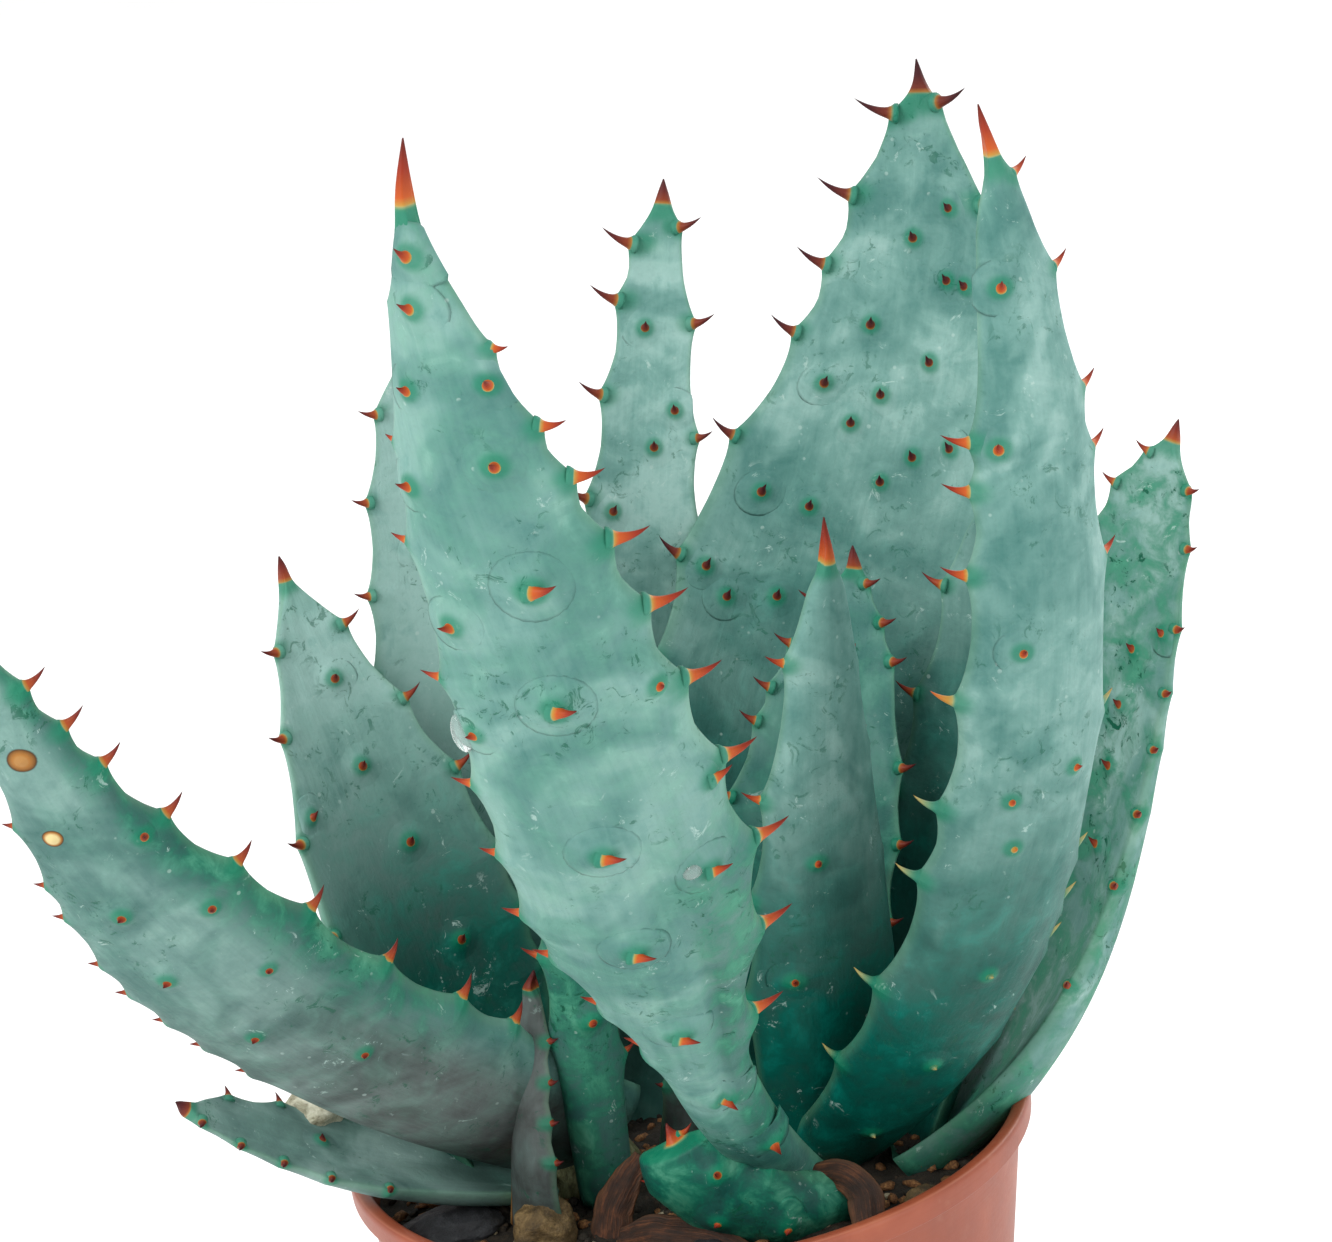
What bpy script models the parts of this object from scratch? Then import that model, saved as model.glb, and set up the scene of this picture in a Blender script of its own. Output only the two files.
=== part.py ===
"""A spiny aloe with two crowns of leaves, growing in a round plastic nursery pot.

The origin is the centre of the pot's underside, +Z is up and the front of the plant faces -Y.
Sizes in the tables are millimetres and degrees; the finished model is in metres.
"""

import math
from typing import NamedTuple

import bmesh
import bpy
import numpy as np
from mathutils import Vector, noise
from mathutils.bvhtree import BVHTree

MM = 0.001

# ---- Driving dimensions, in millimetres -----------------------------------------------------

POT_RIM_RADIUS = 60.0
POT_BASE_RADIUS = 42.5
POT_HEIGHT = 105.0
POT_WALL = 1.2
POT_FLOOR = 1.4
RIM_WIDTH = 2.7
RIM_HEIGHT = 4.4
RIM_ROUNDING = 0.9
DRAIN_HOLE_COUNT = 6
DRAIN_HOLE_RADIUS = 4.0
DRAIN_HOLE_INSET = 13.0

SOIL_BELOW_RIM = 9.0
SOIL_ROUGHNESS = 1.6
SOIL_RINGS = 5

CLEARANCE = 0.3
CUT_MARGIN = 0.36
MOST_CORNER_GROWTH = 2.5
LEAF_THICKNESS_SCALE = 1.0

STEM_RADIUS = 11.0
STEM_HEIGHT = 9.0
STEM_DEPTH = 12.0

POT_SEGMENTS = 48
SOIL_SEGMENTS = 28
LEAF_STATIONS = 13
FACE_POSITIONS = (-0.62, 0.0, 0.62)

SOIL_LEVEL = POT_HEIGHT - SOIL_BELOW_RIM

# ---- Crowns and leaves ----------------------------------------------------------------------

RIGHT_CROWN = (19.0, -4.0)
LEFT_CROWN = (-20.0, 3.0)
FRONT_OFFSET = (31.0, -25.0)

# Where the five widths of a leaf are given, as fractions of its length.
WIDTH_STATIONS = (0.0, 0.25, 0.5, 0.75, 0.9)
THICKNESS_STATIONS = (0.0, 0.3, 0.7, 0.9)
THICKNESS_SHAPE = (0.8, 1.0, 0.72, 0.45)
SPINE_BASE = 2.8


class Leaf(NamedTuple):
    """One leaf. Lean is from the vertical and bearing is from +X; both are read at the foot, the
    middle and the tip, and roll and curl at the foot and the tip. Teeth are fractions of length."""

    name: str
    crown: tuple
    foot: tuple
    rise: float
    length: float
    lean: tuple
    bearing: tuple
    roll: tuple
    widths: tuple
    thickness: float
    curl: tuple
    spine: float
    left_teeth: tuple
    right_teeth: tuple
    tooth: tuple


# In order of who keeps its shape where two leaves press on each other.
LEAVES = [
    Leaf("leaf_front_large", RIGHT_CROWN, (1.8, -11.3), 1.0, 247, (49, 32, -4), (-123, -104, -177),
         (1, 30), (13.5, 14.5, 35, 27.4, 14.8), 8.0, (22, 16), 9.0,
         (0.3, 0.4, 0.49, 0.57, 0.64, 0.7, 0.75, 0.795, 0.83, 0.88),
         (0.29, 0.36, 0.43, 0.48, 0.54, 0.6, 0.68, 0.77, 0.83, 0.91), (5.5, 2.6)),
    Leaf("leaf_right_large", RIGHT_CROWN, (4.6, -2.3), 4.0, 199, (53, 13, -6), (-45, -30, -37),
         (-32, -31), (18.4, 28.3, 27.5, 19.9, 11.5), 7.5, (24, 18), 8.0,
         (0.18, 0.27, 0.31, 0.36, 0.49, 0.62, 0.71, 0.76, 0.86, 0.94),
         (0.13, 0.23, 0.35, 0.42, 0.52, 0.63, 0.7, 0.74), (4.5, 4.5)),
    Leaf("leaf_front_stub", FRONT_OFFSET, (-7.0, 0.0), 4.0, 37, (86, 60, 12), (-164, -160, -172),
         (40, 64), (12, 16, 18.5, 18, 15), 11.0, (20, 20), 3.0,
         (0.5, 0.66, 0.8, 0.92), (0.6, 0.78), (2.6, 2.2)),
    Leaf("leaf_centre", RIGHT_CROWN, (3.0, 4.0), -2.0, 121, (8, 10, 10), (-52, -50, -22),
         (3, -22), (24, 29, 24, 15.5, 8.5), 7.0, (50, 25), 7.5,
         (0.32, 0.48, 0.65, 0.78), (0.3, 0.45, 0.6, 0.8), (2.6, 3.4)),
    Leaf("leaf_left_sweeping", LEFT_CROWN, (2.8, -3.3), 9.0, 181, (55, 42, 11), (218, 226, 227),
         (50, 31), (28, 32.8, 32.8, 18.6, 7), 7.0, (16, 14), 5.0,
         (0.2, 0.28, 0.39, 0.51, 0.61, 0.7, 0.78, 0.83, 0.88),
         (0.37, 0.43, 0.48, 0.53, 0.575, 0.64, 0.68, 0.75, 0.82), (4.4, 2.2)),
    Leaf("leaf_left_upright", LEFT_CROWN, (-7.0, 3.0), 1.0, 117, (15, 18, 13), (166, 148, 149),
         (-11, -35), (32, 39, 36, 22, 9.5), 7.5, (50, 25), 4.5,
         (0.2, 0.32, 0.46, 0.6, 0.75, 0.87), (0.25, 0.35, 0.45, 0.6, 0.73, 0.87), (3.6, 3.8)),
    Leaf("leaf_back_large", RIGHT_CROWN, (-1.0, 17.0), -1.5, 193, (1, 32, 1), (68, 45, 40),
         (37, 28), (40, 54, 58, 34, 17.5), 9.0, (45, 22), 6.0,
         (0.3, 0.4, 0.5, 0.62, 0.73, 0.8, 0.87, 0.95),
         (0.32, 0.42, 0.52, 0.62, 0.71, 0.79, 0.87, 0.96), (5.0, 4.6)),
    Leaf("leaf_back_centre", LEFT_CROWN, (9.5, 13.0), 0.0, 171, (26, 21, 18), (76, 60, 49),
         (40, 30), (25, 27, 23, 16.5, 10), 7.0, (45, 25), 4.5,
         (0.4, 0.55, 0.66, 0.77, 0.87, 0.93), (0.42, 0.53, 0.63, 0.73, 0.85, 0.95), (4.2, 3.4)),
    Leaf("leaf_right_outer", RIGHT_CROWN, (16.0, 1.5), 0.5, 137, (58, 22, 29), (2, 16, 14),
         (-14, 42), (32, 35, 30, 23, 15), 7.5, (45, 20), 4.0,
         (0.5, 0.62, 0.74, 0.84, 0.9, 0.95), (0.3, 0.43, 0.52, 0.6, 0.67, 0.75, 0.85, 0.92), (2.8, 2.4)),
    Leaf("leaf_inner_broad", RIGHT_CROWN, (1.0, 8.0), 0.0, 105, (2, 22, 12), (75, 42, 32),
         (30, 34), (26, 31, 31, 23, 10.5), 5.0, (42, 22), 4.0,
         (0.4, 0.55, 0.68, 0.74, 0.82, 0.9), (0.38, 0.52, 0.65, 0.82, 0.88, 0.94), (3.2, 3.2)),
    Leaf("leaf_inner_right", RIGHT_CROWN, (13.5, 6.0), -1.0, 119, (30, 18, 14), (30, 28, 30),
         (8, 14), (24, 28, 28, 18, 10.5), 6.0, (45, 22), 4.5,
         (0.35, 0.5, 0.65, 0.82), (0.36, 0.51, 0.66, 0.8, 0.9), (4.0, 3.2)),
    Leaf("leaf_back_left", LEFT_CROWN, (-5.0, 14.0), -1.0, 153, (20, 2, 8), (88, 108, 122),
         (-18, -24), (27, 34, 36, 29, 17), 6.5, (45, 22), 4.0,
         (0.35, 0.47, 0.58, 0.68, 0.79, 0.89), (0.4, 0.52, 0.64, 0.74, 0.82, 0.9), (3.2, 3.2)),
    Leaf("leaf_left_low", LEFT_CROWN, (-6.0, -7.0), 4.5, 70, (75, 62, 56), (201, 202, 201),
         (-8, -34), (17, 18, 19, 14, 8), 5.0, (30, 15), 2.6,
         (0.45, 0.6, 0.72, 0.83, 0.93), (0.4, 0.55, 0.7, 0.85), (2.0, 2.0)),
    Leaf("leaf_front_strip", LEFT_CROWN, (4.5, -12.0), 0.0, 118, (10, 18, 16), (-89, -76, -47),
         (-2, -2), (11, 12, 12, 10, 6), 5.0, (25, 20), 5.0,
         (0.25, 0.4, 0.55, 0.7, 0.84), (0.3, 0.45, 0.6, 0.74, 0.87), (2.6, 3.2)),
    Leaf("leaf_pink_edged", LEFT_CROWN, (-7.0, -22.0), 0.5, 46, (-6, -8, -6), (-138, -158, -127),
         (0, -3), (15, 14, 11, 8, 5), 4.0, (20, 20), 3.0,
         (0.3, 0.45, 0.6, 0.75), (0.32, 0.47, 0.62, 0.77), (2.2, 2.2)),
    Leaf("leaf_mauve_short", LEFT_CROWN, (17.0, 2.5), -3.0, 40, (19, 10, 11), (-51, -47, -44),
         (0, 8), (14, 13, 10, 6.5, 4.5), 4.0, (40, 20), 2.4,
         (0.5, 0.72), (0.48, 0.7), (1.8, 1.8)),
]

# ---- Loose pieces on the soil ---------------------------------------------------------------


class Stone(NamedTuple):
    """A stone: its centre above the soil level, its three half sizes, its turn and a shape number."""

    name: str
    place: tuple
    radii: tuple
    turn: float
    shape: float
    material: str


STONES = [
    Stone("stone_slate", (-43.0, -15.0, 0.6), (9.0, 6.0, 3.0), 15, 1.7, "slate"),
    Stone("stone_ochre", (-26.5, -22.5, 1.6), (6.0, 5.0, 5.4), 30, 5.2, "ochre_stone"),
    Stone("stone_amber", (38.0, -31.0, 0.8), (3.8, 3.2, 2.6), -20, 8.4, "ochre_stone"),
    Stone("stone_brown", (-1.0, -42.0, 0.6), (6.5, 4.5, 3.2), 40, 11.9, "slate"),
    Stone("pebble_pale", (-63.5, -9.0, 23.0), (5.8, 4.6, 4.2), 20, 14.6, "pale_stone"),
]


class DriedLeaf(NamedTuple):
    """A withered strip: points along its middle above the soil level, its half widths, and the
    direction that its flat face looks in."""

    name: str
    points: tuple
    half_widths: tuple
    facing: tuple


DRIED_THICKNESS = 0.9
DRIED_LEAVES = [
    DriedLeaf("dried_leaf_strand",
              ((-8.5, -21.5, 12.0), (-12.0, -22.5, 8.0), (-15.0, -23.5, 3.0), (-16.0, -25.0, -1.5)),
              (1.4, 2.8, 3.6, 4.2), (-0.3, -0.9, 0.3)),
    DriedLeaf("dried_leaf_under_stub",
              ((-14.0, -29.0, 0.8), (-7.5, -33.0, 3.2), (0.0, -37.0, 3.0), (7.0, -40.0, 0.4)),
              (2.4, 3.8, 3.6, 2.0), (0.1, -0.7, 0.7)),
    DriedLeaf("dried_leaf_claw",
              ((16.0, -29.0, 7.5), (23.5, -31.0, 8.5), (28.0, -35.0, 5.0), (28.0, -40.0, -1.5)),
              (1.0, 2.4, 3.2, 2.4), (0.2, -0.9, 0.45)),
]

# ---- Colours: base colour, roughness --------------------------------------------------------

MATERIALS = {
    "leaf": ((0.10, 0.30, 0.25), 0.55),
    "leaf_shaded": ((0.16, 0.20, 0.19), 0.6),
    "terracotta_plastic": ((0.55, 0.16, 0.07), 0.5),
    "soil": ((0.05, 0.03, 0.02), 0.95),
    "stem": ((0.22, 0.25, 0.12), 0.7),
    "slate": ((0.09, 0.10, 0.11), 0.7),
    "ochre_stone": ((0.32, 0.18, 0.06), 0.7),
    "pale_stone": ((0.62, 0.58, 0.42), 0.6),
    "dried_leaf": ((0.20, 0.09, 0.04), 0.85),
}
SHADED_LEAVES = {"leaf_left_sweeping", "leaf_pink_edged", "leaf_mauve_short"}


# ---- Small helpers --------------------------------------------------------------------------


def smooth_through(stations, values, at):
    """A curve through the values that never overshoots them (Fritsch-Carlson slopes)."""
    x, y = np.asarray(stations, float), np.asarray(values, float)
    step, rise = np.diff(x), np.diff(y)
    secant = rise / step
    slope = np.zeros_like(y)
    slope[0], slope[-1] = secant[0], secant[-1]
    for i in range(1, len(x) - 1):
        if secant[i - 1] * secant[i] > 0:
            slope[i] = 2 * secant[i - 1] * secant[i] / (secant[i - 1] + secant[i])
    i = np.clip(np.searchsorted(x, at, side="right") - 1, 0, len(step) - 1)
    u = (at - x[i]) / step[i]
    return (
        y[i] * (1 + 2 * u) * (1 - u) ** 2
        + slope[i] * step[i] * u * (1 - u) ** 2
        + y[i + 1] * u**2 * (3 - 2 * u)
        + slope[i + 1] * step[i] * u**2 * (u - 1)
    )


def through_three(values, at):
    """The parabola through values given at 0, a half and 1."""
    start, middle, end = values
    return start * (1 - at) * (1 - 2 * at) + 4 * middle * at * (1 - at) + end * at * (2 * at - 1)


def add_object(name, bm, material):
    """Turns a bmesh into an object of its own, with its faces pointing out."""
    bmesh.ops.recalc_face_normals(bm, faces=bm.faces)
    if bm.calc_volume(signed=True) < 0:
        bmesh.ops.reverse_faces(bm, faces=bm.faces)
    mesh = bpy.data.meshes.new(name)
    bm.to_mesh(mesh)
    bm.free()
    obj = bpy.data.objects.new(name, mesh)
    bpy.context.scene.collection.objects.link(obj)
    if material:
        mesh.materials.append(bpy.data.materials[material])
    return obj


def make_materials():
    for name, (colour, roughness) in MATERIALS.items():
        material = bpy.data.materials.new(name)
        material.use_nodes = True
        shader = material.node_tree.nodes["Principled BSDF"]
        shader.inputs["Base Color"].default_value = (*colour, 1.0)
        shader.inputs["Roughness"].default_value = roughness


def add_cutter(name, bm, margin=0.0):
    """A helper solid that cuts others and isn't part of the object. Its whole surface is moved out
    by the margin, in millimetres, and a little further at a sharp corner."""
    cutter = add_object(name, bm, None)
    grown = bmesh.new()
    grown.from_mesh(cutter.data)
    grown.normal_update()
    moves = [(vert, vert.normal * min(vert.calc_shell_factor(), MOST_CORNER_GROWTH))
             for vert in grown.verts]
    for vert, move in moves:
        vert.co += move * margin * MM
    grown.to_mesh(cutter.data)
    grown.free()
    cutter.hide_render = True
    cutter.display_type = "WIRE"
    return cutter


def surface_of(obj):
    bm = bmesh.new()
    bm.from_mesh(obj.data)
    tree = BVHTree.FromBMesh(bm)
    bm.free()
    return tree


def keep_largest_piece(bm):
    """Deletes every separate scrap but the largest, which a cut can leave behind."""
    unseen = set(bm.verts)
    pieces = []
    while unseen:
        piece, edge = set(), [unseen.pop()]
        while edge:
            vert = edge.pop()
            piece.add(vert)
            for link in vert.link_edges:
                other = link.other_vert(vert)
                if other in unseen:
                    unseen.discard(other)
                    edge.append(other)
        pieces.append(piece)

    def size(piece):
        points = np.array([vert.co for vert in piece])
        return float(np.prod(np.ptp(points, axis=0)))

    pieces.sort(key=size)
    for piece in pieces[:-1]:
        bmesh.ops.delete(bm, geom=list(piece), context="VERTS")


def cut_away(obj, cutters):
    """Cuts from obj each cutter that it meets, so that a gap is left between the two pieces."""
    for cutter in cutters:
        if not surface_of(obj).overlap(surface_of(cutter)):
            continue
        modifier = obj.modifiers.new(cutter.name, "BOOLEAN")
        modifier.operation = "DIFFERENCE"
        modifier.object = cutter
        bpy.context.view_layer.update()
        graph = bpy.context.evaluated_depsgraph_get()
        bm = bmesh.new()
        bm.from_object(obj, graph)
        keep_largest_piece(bm)
        bmesh.ops.triangulate(bm, faces=bm.faces)
        bmesh.ops.dissolve_degenerate(bm, edges=bm.edges, dist=1e-6)
        obj.modifiers.clear()
        bm.to_mesh(obj.data)
        bm.free()


# ---- Leaves ---------------------------------------------------------------------------------


class LeafShape:
    """Where every point of a leaf lies, from its few growth values."""

    SAMPLES = 96

    def __init__(self, leaf):
        self.leaf = leaf
        at = np.linspace(0.0, 1.0, self.SAMPLES + 1)
        lean = np.radians(through_three(leaf.lean, at))
        bearing = np.radians(through_three(leaf.bearing, at))
        self.along = np.stack([np.sin(lean) * np.cos(bearing), np.sin(lean) * np.sin(bearing),
                               np.cos(lean)], axis=1)
        inner = np.stack([-np.cos(lean) * np.cos(bearing), -np.cos(lean) * np.sin(bearing),
                          np.sin(lean)], axis=1)
        roll = np.radians(leaf.roll[0] + (leaf.roll[1] - leaf.roll[0]) * at)[:, None]
        self.inner = inner * np.cos(roll) + np.cross(self.along, inner) * np.sin(roll)
        self.across = np.cross(self.along, self.inner)
        steps = (self.along[1:] + self.along[:-1]) / 2 * (leaf.length / self.SAMPLES)
        foot = np.array([leaf.crown[0] + leaf.foot[0], leaf.crown[1] + leaf.foot[1],
                         SOIL_LEVEL + leaf.rise])
        self.middle = foot + np.concatenate([np.zeros((1, 3)), np.cumsum(steps, axis=0)])
        self.spine_start = 1.0 - leaf.spine / leaf.length

    def frame(self, t):
        """Middle, along, across and inner directions at a fraction of the length."""
        x = t * self.SAMPLES
        i = min(int(x), self.SAMPLES - 1)
        u = x - i
        middle, along, across, inner = (
            track[i] * (1 - u) + track[i + 1] * u
            for track in (self.middle, self.along, self.across, self.inner)
        )
        return middle, along, across / np.linalg.norm(across), inner / np.linalg.norm(inner)

    def half_width(self, t):
        stations = (*WIDTH_STATIONS, self.spine_start, 1.0)
        widths = (*self.leaf.widths, SPINE_BASE, 0.2)
        return float(smooth_through(stations, widths, t)) / 2

    def thickness(self, t):
        full = self.leaf.thickness * LEAF_THICKNESS_SCALE
        stations = (*THICKNESS_STATIONS, self.spine_start, 1.0)
        values = [full * share for share in THICKNESS_SHAPE] + [SPINE_BASE, 0.2]
        return float(smooth_through(stations, values, t))

    def point(self, t, s, side):
        """A surface point: s runs from -1 at the left margin to 1 at the right one, and side is
        1 on the inner face, -1 on the outer face and 0 halfway."""
        middle, along, across, inner = self.frame(t)
        curl = math.radians(self.leaf.curl[0] + (self.leaf.curl[1] - self.leaf.curl[0]) * t)
        half = self.half_width(t)
        sheet = across * (half * math.sin(curl * s) / math.sin(curl))
        sheet = sheet - inner * (half * (math.cos(curl * s) - math.cos(curl)) / math.sin(curl))
        normal = inner * math.cos(curl * s) - across * math.sin(curl * s)
        full = self.thickness(t) * (1 - abs(s) ** 2.4) ** 0.6
        lift = {1: 0.25 * full, 0: 0.0, -1: -0.75 * full}[side]
        return Vector(middle + sheet + normal * lift) * MM

    def margin_directions(self, t, s):
        """Outwards, along and face directions at a margin."""
        _, along, across, inner = self.frame(t)
        curl = math.radians(self.leaf.curl[0] + (self.leaf.curl[1] - self.leaf.curl[0]) * t)
        out = across * (math.cos(curl) * s) + inner * math.sin(curl)
        return out, along, np.cross(along, out)


def stations_for(leaf, spine_start):
    """Even stations along a leaf, with one more wherever two teeth of a margin share a gap."""
    stations = list(np.linspace(0.0, spine_start, LEAF_STATIONS))
    for teeth in (leaf.left_teeth, leaf.right_teeth):
        for first, second in zip(teeth, teeth[1:]):
            if not any(first < station < second for station in stations):
                stations.append((first + second) / 2)
    return sorted(stations)


TOOTH_HALF_BASE = 0.3
TOOTH_THICKNESS = 0.9
TOOTH_FORWARD = 0.25
TOOTH_KEEP_OFF = 0.7
TOOTH_ROOM = 0.36


def add_tooth(bm, shape, t, s, size, margin, rows):
    """Grows one tooth out of a margin's gap between two stations. rows holds the corner points of
    the inner and of the outer face next to that gap."""
    start, end = margin
    root = shape.point(t, s, 0)
    out, along, face = (Vector(v) for v in shape.margin_directions(t, s))
    reach = size * MM
    half = min(TOOTH_HALF_BASE * size * MM, (end.co - start.co).length * 0.3)
    thick = TOOTH_THICKNESS * MM
    side_a = bm.verts.new(root - along * half)
    side_b = bm.verts.new(root + along * half)
    tip = bm.verts.new(root + out * reach + along * (TOOTH_FORWARD * reach))
    for corner_a, corner_b, sign in rows:
        bump = bm.verts.new(root - out * thick * TOOTH_KEEP_OFF + face * (sign * thick))
        for points in ((start, side_a, corner_a), (side_a, bump, corner_a), (bump, corner_b, corner_a),
                       (bump, side_b, corner_b), (side_b, end, corner_b), (side_a, tip, bump),
                       (tip, side_b, bump)):
            bm.faces.new(points)


def leaf_solid(leaf):
    """The closed mesh of a leaf: an outer and an inner face that meet at two toothed margins, a
    flat foot and a sharp spine at the tip."""
    shape = LeafShape(leaf)
    stations = stations_for(leaf, shape.spine_start)
    bm = bmesh.new()
    inner_side = []
    outer_side = []
    margins = {-1: [], 1: []}
    for t in stations:
        inner_side.append([bm.verts.new(shape.point(t, s, 1)) for s in FACE_POSITIONS])
        outer_side.append([bm.verts.new(shape.point(t, s, -1)) for s in FACE_POSITIONS])
        for s in margins:
            margins[s].append(bm.verts.new(shape.point(t, s, 0)))
    for k in range(len(stations) - 1):
        for grid in (inner_side, outer_side):
            for j in range(len(FACE_POSITIONS) - 1):
                bm.faces.new((grid[k][j], grid[k][j + 1], grid[k + 1][j + 1], grid[k + 1][j]))
    face_up = float(np.dot(shape.margin_directions(0.5, 1)[2], shape.frame(0.5)[3]))
    for s, teeth, size in ((-1, leaf.left_teeth, leaf.tooth[0]), (1, leaf.right_teeth, leaf.tooth[1])):
        column = 0 if s < 0 else -1
        inner_sign = math.copysign(1.0, face_up) * s
        for k in range(len(stations) - 1):
            margin = (margins[s][k], margins[s][k + 1])
            rows = [(inner_side[k][column], inner_side[k + 1][column], inner_sign),
                    (outer_side[k][column], outer_side[k + 1][column], -inner_sign)]
            here = [t for t in teeth if stations[k] < t <= stations[k + 1]]
            if here:
                room = TOOTH_ROOM * (stations[k + 1] - stations[k])
                t = min(max(here[0], stations[k] + room), stations[k + 1] - room)
                add_tooth(bm, shape, t, s, size, margin, rows)
                continue
            for corner_a, corner_b, _ in rows:
                bm.faces.new((*margin, corner_b, corner_a))
    upper = [margins[-1][0], *inner_side[0], margins[1][0]]
    lower = [margins[-1][0], *outer_side[0], margins[1][0]]
    for j in range(len(upper) - 1):
        bm.faces.new(list(dict.fromkeys((upper[j], upper[j + 1], lower[j + 1], lower[j]))))
    tip = bm.verts.new(Vector(shape.middle[-1]) * MM)
    ring = [margins[-1][-1], *inner_side[-1], margins[1][-1], *reversed(outer_side[-1])]
    for first, second in zip(ring, ring[1:] + ring[:1]):
        bm.faces.new((first, second, tip))
    bmesh.ops.triangulate(bm, faces=bm.faces, quad_method="FIXED")
    return bm


# ---- Pot, soil and loose pieces -------------------------------------------------------------


def lathe(profile, segments):
    """Turns an outline of (radius, height) points about Z. The outline starts and ends on Z."""
    bm = bmesh.new()
    rings = []
    for radius, height in profile:
        if radius == 0.0:
            rings.append([bm.verts.new((0.0, 0.0, height * MM))] * segments)
            continue
        angles = [2 * math.pi * k / segments for k in range(segments)]
        rings.append([bm.verts.new((radius * math.cos(a) * MM, radius * math.sin(a) * MM, height * MM))
                      for a in angles])
    for lower, upper in zip(rings, rings[1:]):
        for k in range(segments):
            corners = [lower[k], lower[(k + 1) % segments], upper[(k + 1) % segments], upper[k]]
            bm.faces.new(list(dict.fromkeys(corners)))
    return bm


def pot_inner_radius(height):
    """The radius of the pot's inner wall at a height."""
    top = POT_RIM_RADIUS - RIM_WIDTH
    bottom = POT_BASE_RADIUS - POT_WALL
    return bottom + (top - bottom) * (height - POT_FLOOR) / (POT_HEIGHT - POT_FLOOR)


def make_pot():
    rim_foot = POT_HEIGHT - RIM_HEIGHT
    wall_top = pot_inner_radius(rim_foot) + POT_WALL
    inner_top = pot_inner_radius(POT_HEIGHT)
    profile = [
        (0.0, 0.0),
        (POT_BASE_RADIUS - RIM_ROUNDING, 0.0),
        (POT_BASE_RADIUS, RIM_ROUNDING),
        (wall_top, rim_foot),
        (POT_RIM_RADIUS - RIM_ROUNDING / 2, rim_foot),
        (POT_RIM_RADIUS, rim_foot + RIM_ROUNDING / 2),
        (POT_RIM_RADIUS, POT_HEIGHT - RIM_ROUNDING),
        (POT_RIM_RADIUS - RIM_ROUNDING, POT_HEIGHT),
        (inner_top + RIM_ROUNDING / 2, POT_HEIGHT),
        (inner_top, POT_HEIGHT - RIM_ROUNDING / 2),
        (pot_inner_radius(POT_FLOOR), POT_FLOOR),
        (0.0, POT_FLOOR),
    ]
    pot = add_object("pot", lathe(profile, POT_SEGMENTS), "terracotta_plastic")
    ring = POT_BASE_RADIUS - DRAIN_HOLE_INSET
    holes = []
    for k in range(DRAIN_HOLE_COUNT):
        angle = 2 * math.pi * (k + 0.5) / DRAIN_HOLE_COUNT
        bm = bmesh.new()
        bmesh.ops.create_cone(bm, cap_ends=True, segments=12, radius1=DRAIN_HOLE_RADIUS * MM,
                              radius2=DRAIN_HOLE_RADIUS * MM, depth=4 * POT_FLOOR * MM)
        bmesh.ops.translate(bm, verts=bm.verts,
                            vec=(ring * math.cos(angle) * MM, ring * math.sin(angle) * MM, 0.0))
        holes.append(add_cutter(f"drain_hole_{k}", bm))
    cut_away(pot, holes)
    pot.data.shade_smooth()
    pot.data.set_sharp_from_angle(angle=math.radians(35))


def make_soil():
    """Potting soil: it fills the pot to a rough top with a low rise under the plant."""
    profile = [(0.0, POT_FLOOR + CLEARANCE),
               (pot_inner_radius(POT_FLOOR) - CLEARANCE, POT_FLOOR + CLEARANCE)]
    edge = pot_inner_radius(SOIL_LEVEL) - CLEARANCE
    for k in range(SOIL_RINGS):
        profile.append((edge * (1 - k / SOIL_RINGS), SOIL_LEVEL))
    profile.append((0.0, SOIL_LEVEL))
    bm = lathe(profile, SOIL_SEGMENTS)
    inside = (edge - 0.5) * MM
    for vert in bm.verts:
        if vert.co.z > (SOIL_LEVEL - 1) * MM and vert.co.xy.length < inside:
            bump = noise.noise(vert.co * 120.0) + 0.5 * noise.noise(vert.co * 330.0)
            vert.co.z += SOIL_ROUGHNESS * bump * MM
    return add_object("soil", bm, "soil")


def stem_mesh(crown):
    """The short stem inside a crown, from which its leaves grow."""
    low, high = SOIL_LEVEL - STEM_DEPTH, SOIL_LEVEL + STEM_HEIGHT
    profile = [(0.0, low), (STEM_RADIUS * 0.8, low), (STEM_RADIUS, SOIL_LEVEL),
               (STEM_RADIUS * 0.8, SOIL_LEVEL + STEM_HEIGHT * 0.6),
               (STEM_RADIUS * 0.4, high), (0.0, high)]
    bm = lathe(profile, 16)
    bmesh.ops.translate(bm, verts=bm.verts, vec=(crown[0] * MM, crown[1] * MM, 0.0))
    return bm


def stone_mesh(stone):
    bm = bmesh.new()
    bmesh.ops.create_icosphere(bm, subdivisions=2, radius=1.0)
    turn = math.radians(stone.turn)
    for vert in bm.verts:
        rough = 1 + 0.22 * noise.noise(vert.co * 1.3 + Vector((stone.shape, 0.0, 0.0)))
        x, y, z = (vert.co[i] * stone.radii[i] * rough for i in range(3))
        vert.co = Vector((
            stone.place[0] + x * math.cos(turn) - y * math.sin(turn),
            stone.place[1] + x * math.sin(turn) + y * math.cos(turn),
            SOIL_LEVEL + stone.place[2] + z,
        )) * MM
    return bm


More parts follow.
